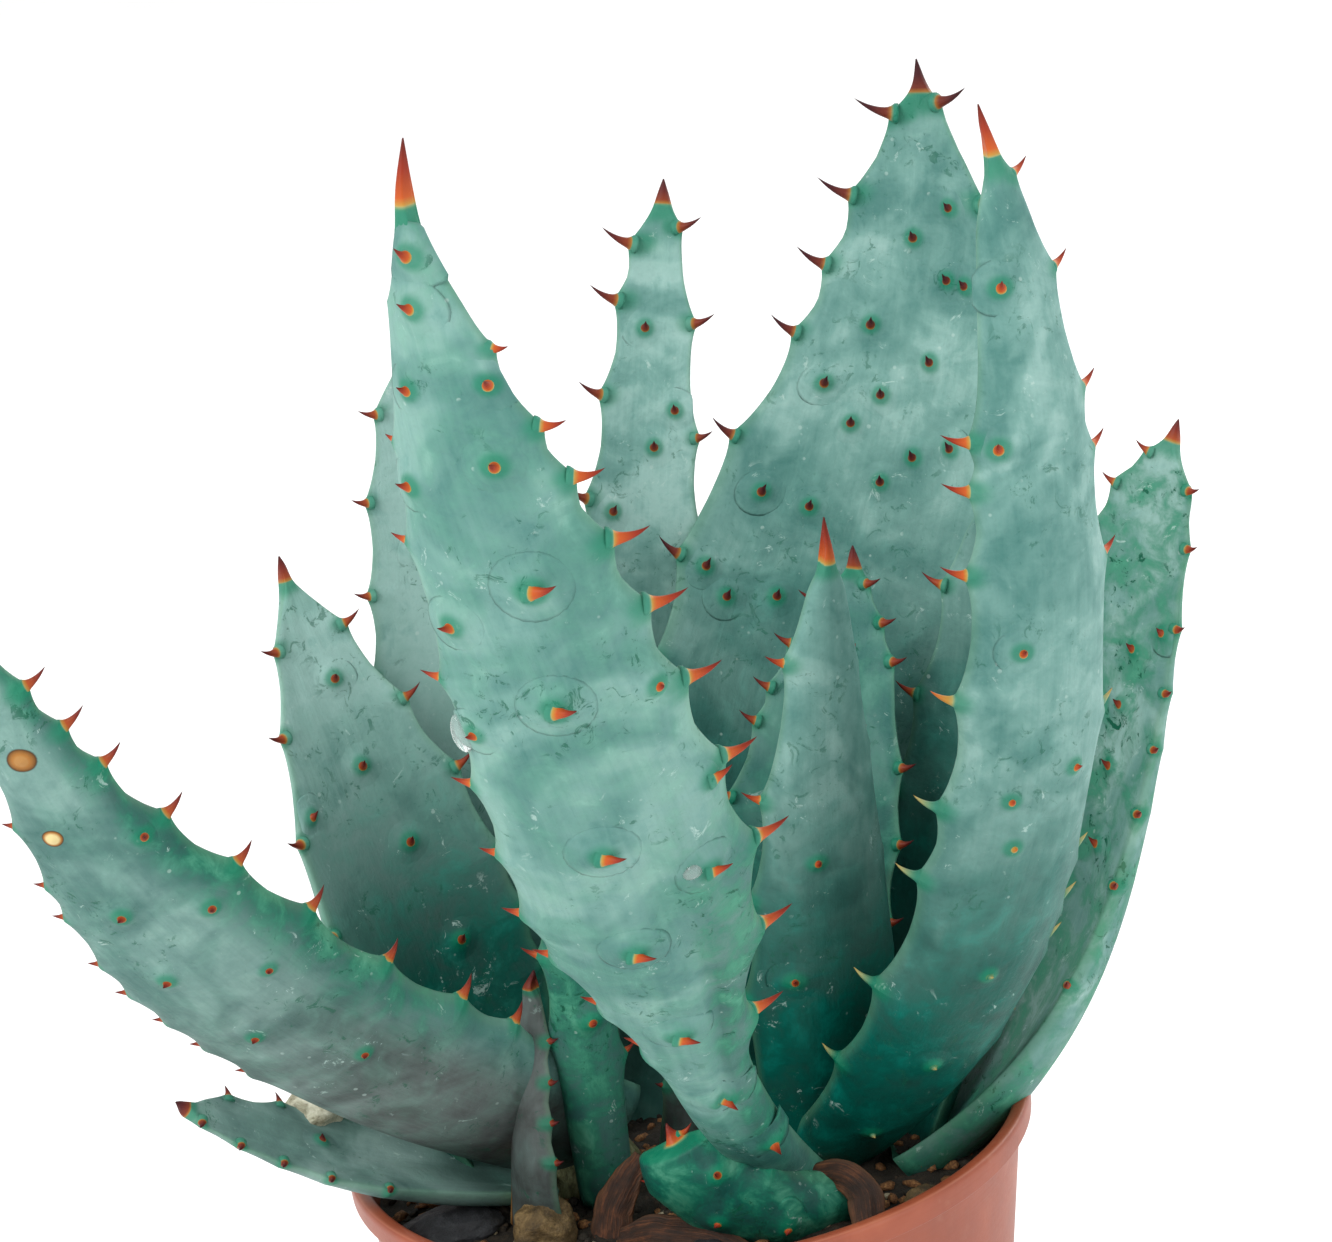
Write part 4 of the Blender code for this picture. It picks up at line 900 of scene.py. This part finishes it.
def leaf_part(leaf):
    """The detailed leaf as one mesh: blade, marginal teeth, face prickles and tip spine."""
    shape = LeafShape(leaf)
    skin = SKINS[leaf.name]
    plan = tooth_plan(leaf)
    stations = list(np.arange(0.0, leaf.length, STATION_STEP) / leaf.length)
    for t, _, _ in plan:
        stations += [t + d / leaf.length for d in TOOTH_NEAR]
    stations += list(np.linspace(shape.spine_start - 0.01, LAST_STATION, 12))
    stations = sorted(t for t in stations if 0.0 <= t <= LAST_STATION)
    kept = [stations[0]]
    for t in stations[1:]:
        if (t - kept[-1]) * leaf.length > STATION_GAP:
            kept.append(t)
    t_row = np.array(kept)
    angle = np.linspace(0, 2 * np.pi, AROUND, endpoint=False) + np.pi / AROUND
    s_row, side_row = np.cos(angle), np.sign(np.sin(angle))
    t = np.repeat(t_row, AROUND)
    s = np.tile(s_row, len(t_row))
    side = np.tile(side_row, len(t_row))
    points = shape.skin(t, s, side)

    def tints(t, s):
        """Tint and paleness at points of the blade."""
        # Towards the foot the blade turns saturated teal and less pale: partly the leaf's own colour, partly
        # painted shade inside the rosette.
        top = skin.teal_top
        sway = 0.05 * np.sin(s * 2.3 + leaf.length) + 0.1 * s**2
        teal = skin.teal * (1 - smoothstep(top * 0.35, top * 1.15, t + sway * min(top, 0.5)))
        tip_green = 0.35 * smoothstep(0.88, 0.97, t)
        mauve = skin.mauve * np.ones_like(t)
        green = np.clip(skin.green + tip_green, 0, 1) * np.ones_like(t)
        if leaf.name == SWEEPING:
            upper = smoothstep(-0.35, -0.95, s)
            mauve = mauve * (1 - 0.9 * upper) * (1 - 0.75 * smoothstep(0.2, 0.6, t))
            green = np.clip(green + upper * 0.9 * smoothstep(0.15, 0.4, t), 0, 1)
            teal = np.clip(teal + 0.75 * upper * smoothstep(0.2, 0.5, t), 0, 1)
        if leaf.name == FRONT_LARGE:
            flank = smoothstep(-0.2, -0.5, s) * smoothstep(0.1, 0.2, t) * (1 - smoothstep(0.38, 0.6, t))
            green = np.clip(green + 0.9 * flank, 0, 1)
            teal = np.clip(teal + 0.55 * flank, 0, 1)
        # Less pale towards the foot, partly as painted shade.
        pale = np.clip(skin.pale - 0.25 * (1 - smoothstep(0.0, 0.3, t)), 0, 1)
        return np.stack([np.clip(teal, 0, 1), mauve, green], axis=1), pale

    tint, pale = tints(t, s)
    halo = np.zeros(len(t))
    edge = smoothstep(0.9, 1.0, np.abs(s)) * (1 - smoothstep(0.93, 1.0, t))
    for sign in (-1, 1):
        out = shape.margin_out(t, float(sign))
        at_margin = smoothstep(0.35, 1.0, s * sign) ** 1.5
        inward = (1 - s * sign) * shape.half_width(t)
        offset = np.zeros(len(t))
        for t_tooth, s_tooth, size in plan:
            if s_tooth != sign:
                continue
            gap = np.abs(t - t_tooth) * leaf.length
            offset = np.maximum(offset, tooth_flare(size) * np.exp(-gap / (1.5 + 0.6 * size)))
            reach = 0.9 + 0.35 * size
            glow = 0.8 * np.exp(-((gap / reach) ** 2) - (inward / (1.2 * reach)) ** 2)
            halo = np.maximum(halo, glow)
        offset -= MARGIN_SUNK
        offset *= 1 - smoothstep(0.95, 0.99, t)
        points = points + out * (offset * at_margin)[:, None]
    spine = smoothstep(shape.spine_start - 0.004, shape.spine_start + 0.008, t) * 0.16
    spine = spine + 0.84 * np.clip((t - shape.spine_start) / (1 - shape.spine_start), 0, 1)
    halo = np.maximum(halo, 0.85 * smoothstep(shape.spine_start - 0.04, shape.spine_start, t))
    spot = np.stack([pale, halo, spine], axis=1)
    scar = np.zeros(len(t))
    if leaf.name == PINK_EDGED:
        scar = 0.95 * smoothstep(0.35, 0.8, s) * (1 - smoothstep(0.6, 0.9, t))
    mark = np.stack([np.full(len(t), skin.dark_spines), scar, edge], axis=1)
    half = shape.half_width(t)
    grain = np.stack([s * half, side * 9.0, t * leaf.length], axis=1)
    faces = grid_faces(len(t_row), AROUND)
    ends = [shape.middle[0] - shape.along[0] * 0.8, shape.middle[-1]]
    points = np.concatenate([points, ends])
    rows = len(t_row)
    foot, tip = rows * AROUND, rows * AROUND + 1
    for j in range(AROUND):
        k = (j + 1) % AROUND
        faces.append((j, foot, k))
        faces.append(((rows - 1) * AROUND + j, (rows - 1) * AROUND + k, tip))
    extra = [0, -1]
    part = Part()
    part.add(points, faces, 0, tint=np.concatenate([tint, tint[extra]]),
             spot=np.concatenate([spot, [[0.3, 0, 0], [0.3, 1, 1]]]),
             mark=np.concatenate([mark, mark[extra]]), grain=np.concatenate([grain, grain[extra]]))
    for t_tooth, sign, size in plan:
        here = np.array([t_tooth])
        base = shape.surface(here, np.array([float(sign)]), np.array([1.0]))[0]
        out = unit(shape.margin_out(here, float(sign))[0])
        _, along, _, _ = shape.frame(here)
        flare = tooth_flare(size) - MARGIN_SUNK
        forward = -0.35 if leaf.name == FRONT_LARGE and sign < 0 else 0.1
        direction = unit(out + along[0] * forward)
        tooth_tint, tooth_pale = tints(here, np.array([float(sign)]))
        add_horn(part, base + out * (flare - 0.7), direction, along[0], size,
                 0.38 + 0.1 * size, 0.7, skin.dark_spines, (0.0, 0.0, 0.0), tooth_tint[0],
                 float(tooth_pale[0]), ripeness(leaf, t_tooth - 0.12))
    for face_side, prickles in ((1, skin.inner), (-1, skin.outer)):
        for t_prickle, s_prickle, length in prickles:
            add_prickle(part, shape, skin, t_prickle, s_prickle, face_side, length, tints)
    return part, shape, tints


def add_drop(part, shape, t, s, side, width, height, slot):
    """A water drop that clings to the skin."""
    centre, normal, along, across = shape.skin_frame(t, s, side)
    points = [centre + normal * width * 0.75]
    for k in range(1, DISC_RINGS):
        phi = math.pi * 0.62 * k / (DISC_RINGS - 1)
        for j in range(DISC_AROUND):
            a = 2 * math.pi * j / DISC_AROUND
            sag = 1 - 0.18 * math.sin(a)
            points.append(centre + normal * (width * 0.75 * math.cos(phi))
                          + across * (width * math.sin(phi) * math.cos(a) * sag)
                          + along * (height * math.sin(phi) * math.sin(a)))
    points.append(centre - normal * width * 0.3)
    part.add(points, dome_faces(DISC_RINGS, DISC_AROUND), slot)


def add_scab(part, shape, t, s, side, radius, value, tints):
    """A round scar, a little raised."""
    _, normal, _, _ = shape.skin_frame(t, s, side)
    reach = radius * 1.7
    points, ts, ss, rs, grain = skin_disc(shape, t, s, side, reach, 1.0)
    rise = 0.5 * np.exp(-((rs / radius) ** 2) * 2.0)
    rise = rise - 0.08 * smoothstep(0.7, 1.0, rs / reach) + 0.05
    rise[-1] = -DISC_DEPTH
    scar = value * (1 - smoothstep(0.45, 1.25, rs / radius))
    scar = scar + 0.3 * (1 - smoothstep(0.9, 1.4, rs / radius))
    tint, pale = tints(ts, ss)
    none = np.zeros(len(ts))
    spot = np.stack([pale, 0.35 * (1 - smoothstep(1.0, 1.6, rs / radius)), none], axis=1)
    mark = np.stack([none, np.clip(scar, 0, 1), none], axis=1)
    part.add(points + normal * rise[:, None], dome_faces(DISC_RINGS, DISC_AROUND), 0, tint=tint,
             spot=spot, mark=mark, grain=grain)


def make_leaves(materials):
    for leaf in LEAVES:
        part, shape, tints = leaf_part(leaf)
        if leaf.name == FRONT_LARGE:
            add_drop(part, shape, 0.645, 0.93, -1, 1.8, 3.3, 1)
            add_drop(part, shape, 0.512, -0.48, -1, 1.7, 1.4, 1)
        if leaf.name == SWEEPING:
            add_scab(part, shape, 0.825, 0.0, -1, 1.9, 0.34, tints)
            add_scab(part, shape, 0.743, 0.3, -1, 1.4, 0.75, tints)
        obj = part.build(leaf.name + "_skin", materials)
        declare(obj, leaf.name)


# ---- Pot, soil and loose pieces -----------------------------------------------------------------


POT_SEGMENTS = 160
CORNER_STEPS = 5
WALL_STEP = 6.0
BASE_RECESS = 0.9
FOOT_RING_WIDTH = 5.0


def pot_inner_radius(height):
    top = POT_RIM_RADIUS - RIM_WIDTH
    bottom = POT_BASE_RADIUS - POT_WALL
    return bottom + (top - bottom) * (height - POT_FLOOR) / (POT_HEIGHT - POT_FLOOR)


def rounded(profile):
    """Rounds every corner of an outline that gives a radius, as (r, z, radius)."""
    out = []
    for i, (r, z, radius) in enumerate(profile):
        if radius == 0 or i in (0, len(profile) - 1):
            out.append((r, z))
            continue
        here = np.array([r, z])
        before = np.array(profile[i - 1][:2]) - here
        after = np.array(profile[i + 1][:2]) - here
        cut_a = here + before / np.linalg.norm(before) * radius
        cut_b = here + after / np.linalg.norm(after) * radius
        for k in range(CORNER_STEPS + 1):
            u = k / CORNER_STEPS
            out.append(tuple(cut_a * (1 - u) ** 2 + here * 2 * u * (1 - u) + cut_b * u * u))
    return out


def make_pot(material):
    rim_foot = POT_HEIGHT - RIM_HEIGHT
    wall_top = pot_inner_radius(rim_foot) + POT_WALL
    inner_top = pot_inner_radius(POT_HEIGHT)
    outline = rounded([
        (0.0, BASE_RECESS, 0),
        (POT_BASE_RADIUS - FOOT_RING_WIDTH, BASE_RECESS, 0.8),
        (POT_BASE_RADIUS - FOOT_RING_WIDTH + 0.8, 0.0, 0.4),
        (POT_BASE_RADIUS, 0.0, RIM_ROUNDING),
        (wall_top, rim_foot, 0.25),
        (POT_RIM_RADIUS - 0.25, rim_foot + 0.05, 0.35),
        (POT_RIM_RADIUS, POT_HEIGHT, 1.3),
        (inner_top, POT_HEIGHT, 1.0),
        (pot_inner_radius(POT_FLOOR), POT_FLOOR, 0.8),
        (0.0, POT_FLOOR, 0),
    ])
    dense = []
    for (r0, z0), (r1, z1) in zip(outline, outline[1:]):
        count = max(1, int(math.hypot(r1 - r0, z1 - z0) / WALL_STEP))
        dense += [(r0 + (r1 - r0) * k / count, z0 + (z1 - z0) * k / count) for k in range(count)]
    dense.append(outline[-1])
    bm = bmesh.new()
    rings = []
    for radius, height in dense:
        if radius == 0.0:
            rings.append([bm.verts.new((0.0, 0.0, height * MM))] * POT_SEGMENTS)
            continue
        angles = [2 * math.pi * k / POT_SEGMENTS for k in range(POT_SEGMENTS)]
        rings.append([bm.verts.new((radius * MM * math.cos(a), radius * MM * math.sin(a), height * MM))
                      for a in angles])
    for lower, upper in zip(rings, rings[1:]):
        for k in range(POT_SEGMENTS):
            after = (k + 1) % POT_SEGMENTS
            corners = [lower[k], lower[after], upper[after], upper[k]]
            bm.faces.new(list(dict.fromkeys(corners)))
    bmesh.ops.recalc_face_normals(bm, faces=bm.faces)
    mesh = bpy.data.meshes.new("pot_shell")
    bm.to_mesh(mesh)
    bm.free()
    pot = into_scene("pot_shell", mesh)
    cutters = []
    ring = POT_BASE_RADIUS - DRAIN_HOLE_INSET
    for k in range(DRAIN_HOLE_COUNT):
        angle = 2 * math.pi * (k + 0.5) / DRAIN_HOLE_COUNT
        bm = bmesh.new()
        bmesh.ops.create_cone(bm, cap_ends=True, segments=32, radius1=DRAIN_HOLE_RADIUS * MM,
                              radius2=DRAIN_HOLE_RADIUS * MM, depth=6 * POT_FLOOR * MM)
        bmesh.ops.translate(bm, verts=bm.verts,
                            vec=(ring * math.cos(angle) * MM, ring * math.sin(angle) * MM, 0.0))
        cutter_mesh = bpy.data.meshes.new("hole")
        bm.to_mesh(cutter_mesh)
        bm.free()
        cutter = into_scene("hole", cutter_mesh)
        modifier = pot.modifiers.new("hole", "BOOLEAN")
        modifier.operation = "DIFFERENCE"
        modifier.object = cutter
        cutters.append(cutter)
    bpy.context.view_layer.update()
    graph = bpy.context.evaluated_depsgraph_get()
    finished = bpy.data.meshes.new_from_object(pot.evaluated_get(graph))
    pot.modifiers.clear()
    pot.data = finished
    for cutter in cutters:
        bpy.data.objects.remove(cutter)
    places = np.array([v.co[:] for v in finished.vertices])
    # Painted highlight on the rim's rounded top edge, passed to the shader in the mark attribute.
    from_edge = np.abs(np.hypot(places[:, 0], places[:, 1]) - (POT_RIM_RADIUS - 0.6) * MM)
    rim_highlight = smoothstep(0.0005, 0.0, from_edge) * (places[:, 2] > (POT_HEIGHT - 2.0) * MM)
    set_vectors(finished, "mark", np.stack([rim_highlight, rim_highlight * 0, rim_highlight * 0], axis=1))
    finished.materials.clear()
    finished.materials.append(material)
    finished.shade_smooth()
    finished.set_sharp_from_angle(angle=math.radians(40))
    declare(pot, "pot")


CRUMB_COUNT = 900
CRUMB_SEED = 11
EARTH, BARK, GRIT = 0.0, 0.55, 1.0


def soil_height(x, y):
    p = Vector((x * 0.12, y * 0.12, 0.0))
    q = Vector((x * 0.45, y * 0.45, 3.0))
    bump = noise.noise(p) + 0.5 * noise.noise(p * 2.7)
    return SOIL_LEVEL - 0.5 + 1.0 * bump + 0.7 * noise.noise(q) + 0.35 * noise.noise(q * 2.6)


def chip(rng, size, flat):
    """One crumb of soil, bark or grit, as points and faces."""
    bm = bmesh.new()
    bmesh.ops.create_icosphere(bm, subdivisions=1, radius=1.0)
    points = np.array([v.co[:] for v in bm.verts])
    faces = [tuple(v.index for v in f.verts) for f in bm.faces]
    bm.free()
    points *= 1 + rng.uniform(-0.28, 0.28, (len(points), 1))
    points *= np.array([size, size * rng.uniform(0.5, 0.9), size * flat])
    turn = Matrix.Rotation(rng.uniform(0, 6.28), 3, "Z") @ Matrix.Rotation(rng.uniform(-0.5, 0.5), 3, "X")
    return points @ np.array(turn).T, faces


def make_soil(material):
    edge = pot_inner_radius(SOIL_LEVEL) - 0.35
    rings, around = 70, 220
    points = []
    for i in range(rings):
        r = edge * (i + 1) / rings
        for j in range(around):
            a = 2 * math.pi * j / around
            x, y = r * math.cos(a), r * math.sin(a)
            points.append((x, y, soil_height(x, y)))
    faces = grid_faces(rings, around)
    top = len(points)
    points.append((0.0, 0.0, soil_height(0.0, 0.0)))
    faces += [((j + 1) % around, top, j) for j in range(around)]
    low = POT_FLOOR + 0.3
    bottom = len(points)
    r = pot_inner_radius(POT_FLOOR) - 0.9
    points += [(r * math.cos(2 * math.pi * j / around), r * math.sin(2 * math.pi * j / around), low)
               for j in range(around)]
    points.append((0.0, 0.0, low))
    rim = (rings - 1) * around
    for j in range(around):
        k = (j + 1) % around
        faces.append((bottom + j, bottom + k, rim + k, rim + j))
        faces.append((bottom + around, bottom + k, bottom + j))
    part = Part()
    part.add(points, faces, 0, mark=(EARTH, 0.0, 0.0))
    rng = np.random.default_rng(CRUMB_SEED)
    for _ in range(CRUMB_COUNT):
        r = (edge - 2.0) * math.sqrt(rng.uniform(0.02, 1.0))
        a = rng.uniform(0, 2 * math.pi)
        x, y = r * math.cos(a), r * math.sin(a)
        pick = rng.uniform()
        kind = EARTH if pick < 0.45 else (BARK if pick < 0.93 else GRIT)
        size = rng.uniform(0.5, 1.5) if kind != BARK else rng.uniform(0.6, 2.1)
        flat = rng.uniform(0.3, 0.8)
        body, crumb_faces = chip(rng, size, flat)
        body = body + np.array([x, y, soil_height(x, y) + size * flat * 0.35])
        reach = np.hypot(body[:, 0], body[:, 1]).max()
        if reach > edge:
            continue
        part.add(body, crumb_faces, 0, mark=(kind, 0.0, 0.0))
    declare(part.build("soil_surface", [material]), "soil")


def make_stones(materials):
    for stone in STONES:
        bm = bmesh.new()
        bmesh.ops.create_icosphere(bm, subdivisions=5, radius=1.0)
        turn = math.radians(stone.turn)
        for vert in bm.verts:
            seed = Vector((stone.shape, 0.0, 0.0))
            rough = 1 + 0.22 * noise.noise(vert.co * 1.3 + seed)
            rough += 0.05 * noise.noise(vert.co * 4.0 + seed) + 0.025 * noise.noise(vert.co * 11.0 + seed)
            rough += 0.02 * noise.cell(vert.co * 2.1 + seed)
            x, y, z = (vert.co[i] * stone.radii[i] * rough for i in range(3))
            vert.co = Vector((
                stone.place[0] + x * math.cos(turn) - y * math.sin(turn),
                stone.place[1] + x * math.sin(turn) + y * math.cos(turn),
                SOIL_LEVEL + stone.place[2] + z,
            )) * MM
        mesh = bpy.data.meshes.new(stone.name + "_rock")
        bm.to_mesh(mesh)
        bm.free()
        mesh.materials.append(materials[stone.material])
        mesh.shade_smooth()
        declare(into_scene(stone.name + "_rock", mesh), stone.name)


def make_dried(material):
    for dried in DRIED_LEAVES:
        count, wide = 60, 26
        stations = np.linspace(0.0, 1.0, len(dried.points))
        at = np.linspace(0.0, 1.0, count)
        path = np.stack([smooth_through(stations, [p[i] for p in dried.points], at)
                         for i in range(3)], axis=1)
        path[:, 2] += SOIL_LEVEL
        half = smooth_through(stations, dried.half_widths, at)
        ahead = unit(np.gradient(path, axis=0))
        facing = unit(np.array(dried.facing))
        across = unit(np.cross(ahead, facing))
        up = np.cross(across, ahead)
        rows, marks, grain = [], [], []
        for side in (1, -1):
            for k in range(count):
                v = np.linspace(-1, 1, wide) * side
                seed = len(dried.name) + dried.points[0][0]
                ragged = np.array([1 + 0.12 * noise.noise(Vector((at[k] * 9, x * 1.5, seed)))
                                   for x in v])
                fold = np.array([0.45 * math.sin(x * 7 + at[k] * 3 + seed)
                                 + 0.5 * noise.noise(Vector((at[k] * 4, x * 3, seed))) for x in v])
                thin = 0.42 * (1 - np.abs(v) ** 6) * side
                height = -0.35 * half[k] * v**2 + 0.35 * fold + thin
                rows.append(path[k] + np.outer(v * ragged * half[k], across[k])
                            + np.outer(height, up[k]))
                marks += [[float(x), 0, 0] for x in np.abs(v) ** 6]
                grain += [[float(x) * half[k], 0, at[k] * 20] for x in v]
        points = np.concatenate(rows)
        back = count * wide
        sheet = grid_faces(count, wide, False)
        faces = sheet + [tuple(i + back for i in face) for face in sheet]
        for k in range(count - 1):
            for j, i in ((wide - 1, 0), (0, wide - 1)):
                a, b = k * wide + j, (k + 1) * wide + j
                c, d = back + (k + 1) * wide + i, back + k * wide + i
                faces.append((a, b, c, d) if j else (b, a, d, c))
        for k in (0, count - 1):
            for j in range(wide - 1):
                a, b = k * wide + j, k * wide + j + 1
                c, d = back + k * wide + wide - 2 - j, back + k * wide + wide - 1 - j
                faces.append((b, a, d, c) if k == 0 else (a, b, c, d))
        part = Part()
        part.add(points, faces, 0, mark=np.array(marks), grain=np.array(grain))
        obj = part.build(dried.name + "_sheet", [material])
        bm = bmesh.new()
        bm.from_mesh(obj.data)
        bmesh.ops.remove_doubles(bm, verts=bm.verts, dist=1e-6)
        bmesh.ops.recalc_face_normals(bm, faces=bm.faces)
        bm.to_mesh(obj.data)
        bm.free()
        declare(obj, dried.name)


STEM_DEPTH = 12.0
STEM_LENGTH = 21.0
STEM_WAIST = 0.57


def make_stems(material):
    """A ribbed stem under each crown, widest a little over half way up."""
    rings, around = 30, 48
    for name, crown in (("stem_right", RIGHT_CROWN), ("stem_left", LEFT_CROWN)):
        _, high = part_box(name)
        points = []
        for i in range(rings):
            u = i / (rings - 1)
            z = SOIL_LEVEL - STEM_DEPTH + STEM_LENGTH * u
            radius = 8.8 + 2.2 * math.sin(math.pi * min(u / STEM_WAIST, 1.0) / 2)
            radius *= 1 - 0.62 * max(0.0, (u - STEM_WAIST) / (1 - STEM_WAIST)) ** 1.6
            for j in range(around):
                a = 2 * math.pi * j / around
                rough = 0.03 * noise.noise(Vector((a, u * 8, crown[0])))
                r = radius * (1 + 0.03 * math.sin(9 * a + 3 * u) + rough)
                points.append((crown[0] + r * math.cos(a), crown[1] + r * math.sin(a), z))
        faces = grid_faces(rings, around)
        points += [(*crown, SOIL_LEVEL - STEM_DEPTH), (*crown, min(high.z / MM, POT_HEIGHT))]
        for j in range(around):
            k = (j + 1) % around
            faces.append((j, rings * around, k))
            faces.append(((rings - 1) * around + j, (rings - 1) * around + k, rings * around + 1))
        part = Part()
        part.add(points, faces, 0)
        declare(part.build(name + "_core", [material]), name)


# ---- Studio -------------------------------------------------------------------------------------


def area_light(name, place, target, size, energy, colour):
    light = bpy.data.lights.new(name, "AREA")
    light.shape = "RECTANGLE"
    light.size, light.size_y = size
    light.energy = energy
    light.color = colour
    obj = into_scene(name, light)
    obj.location = place
    obj.rotation_euler = (Vector(target) - Vector(place)).to_track_quat("-Z", "Y").to_euler()


def make_stage():
    """A pale floor that sweeps up behind the plant."""
    n = Nodes("studio_floor")
    tone = n.noise(n.place(), 0.004, 2.0)
    colour = n.ramp(tone, ((0.3, (0.97, 0.97, 0.97)), (0.7, (0.99, 0.99, 0.99))))
    material = n.finish(colour, 0.9, None, Specular_IOR_Level=0.1)
    back, bend = 2.0, 1.5
    profile = [(-4.0, 0.0), (back, 0.0)]
    profile += [(back + bend * math.sin(a), bend - bend * math.cos(a))
                for a in np.linspace(0.1, math.pi / 2, 16)]
    profile.append((back + bend, 6.0))
    points, faces = [], []
    for y, z in profile:
        points += [(-6.0, y, z - 0.0005), (6.0, y, z - 0.0005)]
    for k in range(len(profile) - 1):
        faces.append((2 * k, 2 * k + 1, 2 * k + 3, 2 * k + 2))
    mesh = bpy.data.meshes.new("floor")
    mesh.from_pydata(points, [], faces)
    mesh.materials.append(material)
    mesh.shade_smooth()
    floor = into_scene("floor", mesh)


def make_lights():
    world = bpy.data.worlds.new("studio")
    world.use_nodes = True
    background = world.node_tree.nodes["Background"]
    background.inputs["Color"].default_value = (1.0, 1.0, 1.0, 1.0)
    background.inputs["Strength"].default_value = 0.92
    bpy.context.scene.world = world
    target = (0.0, 0.0, 0.16)
    area_light("key", (-0.9, -0.8, 1.1), target, (0.9, 0.9), 16.0, (1.0, 0.99, 0.97))
    area_light("fill", (1.1, -0.7, 0.6), target, (0.9, 0.9), 5.0, (0.97, 0.99, 1.0))
    area_light("rim", (0.9, 1.0, 0.8), target, (0.8, 0.8), 9.0, (1.0, 1.0, 1.0))
    bpy.context.scene.view_settings.view_transform = "Standard"
    bpy.context.scene.view_settings.look = "None"


CAMERA_PLACE = (0.0082, -0.6814, 0.4108)
CAMERA_PITCH = 17.59
CAMERA_ROLL = 7.95
CAMERA_LENS = 114.9


def make_camera():
    """Looks along +Y and down a little, turned so that the pot leans to the left."""
    pitch, roll = math.radians(CAMERA_PITCH), math.radians(CAMERA_ROLL)
    forward = Vector((0.0, math.cos(pitch), -math.sin(pitch)))
    right = Vector((1.0, 0.0, 0.0))
    up = right.cross(forward)
    turned_right = right * math.cos(roll) - up * math.sin(roll)
    turned_up = right * math.sin(roll) + up * math.cos(roll)
    camera = bpy.data.cameras.new("camera")
    camera.sensor_width = 36.0
    camera.lens = CAMERA_LENS
    camera.clip_start = 0.01
    obj = into_scene("camera", camera)
    axes = Matrix((turned_right, turned_up, -forward)).transposed().to_4x4()
    obj.matrix_world = Matrix.Translation(CAMERA_PLACE) @ axes
    bpy.context.scene.camera = obj


make_camera()
make_stage()
make_lights()
make_leaves([leaf_material(), water_material()])
make_pot(plastic_material())
make_soil(soil_material())
make_stones({
    "slate": stone_material("slate", (0.008, 0.009, 0.011), (0.022, 0.024, 0.028),
                            (0.075, 0.08, 0.085), 0.22, 0.5),
    "ochre_stone": stone_material("ochre_stone", (0.03, 0.018, 0.006), (0.12, 0.075, 0.025),
                                  (0.33, 0.22, 0.09), 0.3, 0.55),
    "pale_stone": stone_material("pale_stone", (0.14, 0.12, 0.06), (0.5, 0.49, 0.36),
                                 (0.8, 0.8, 0.68), 0.35, 0.5),
})
make_dried(dried_material())
make_stems(stem_material())
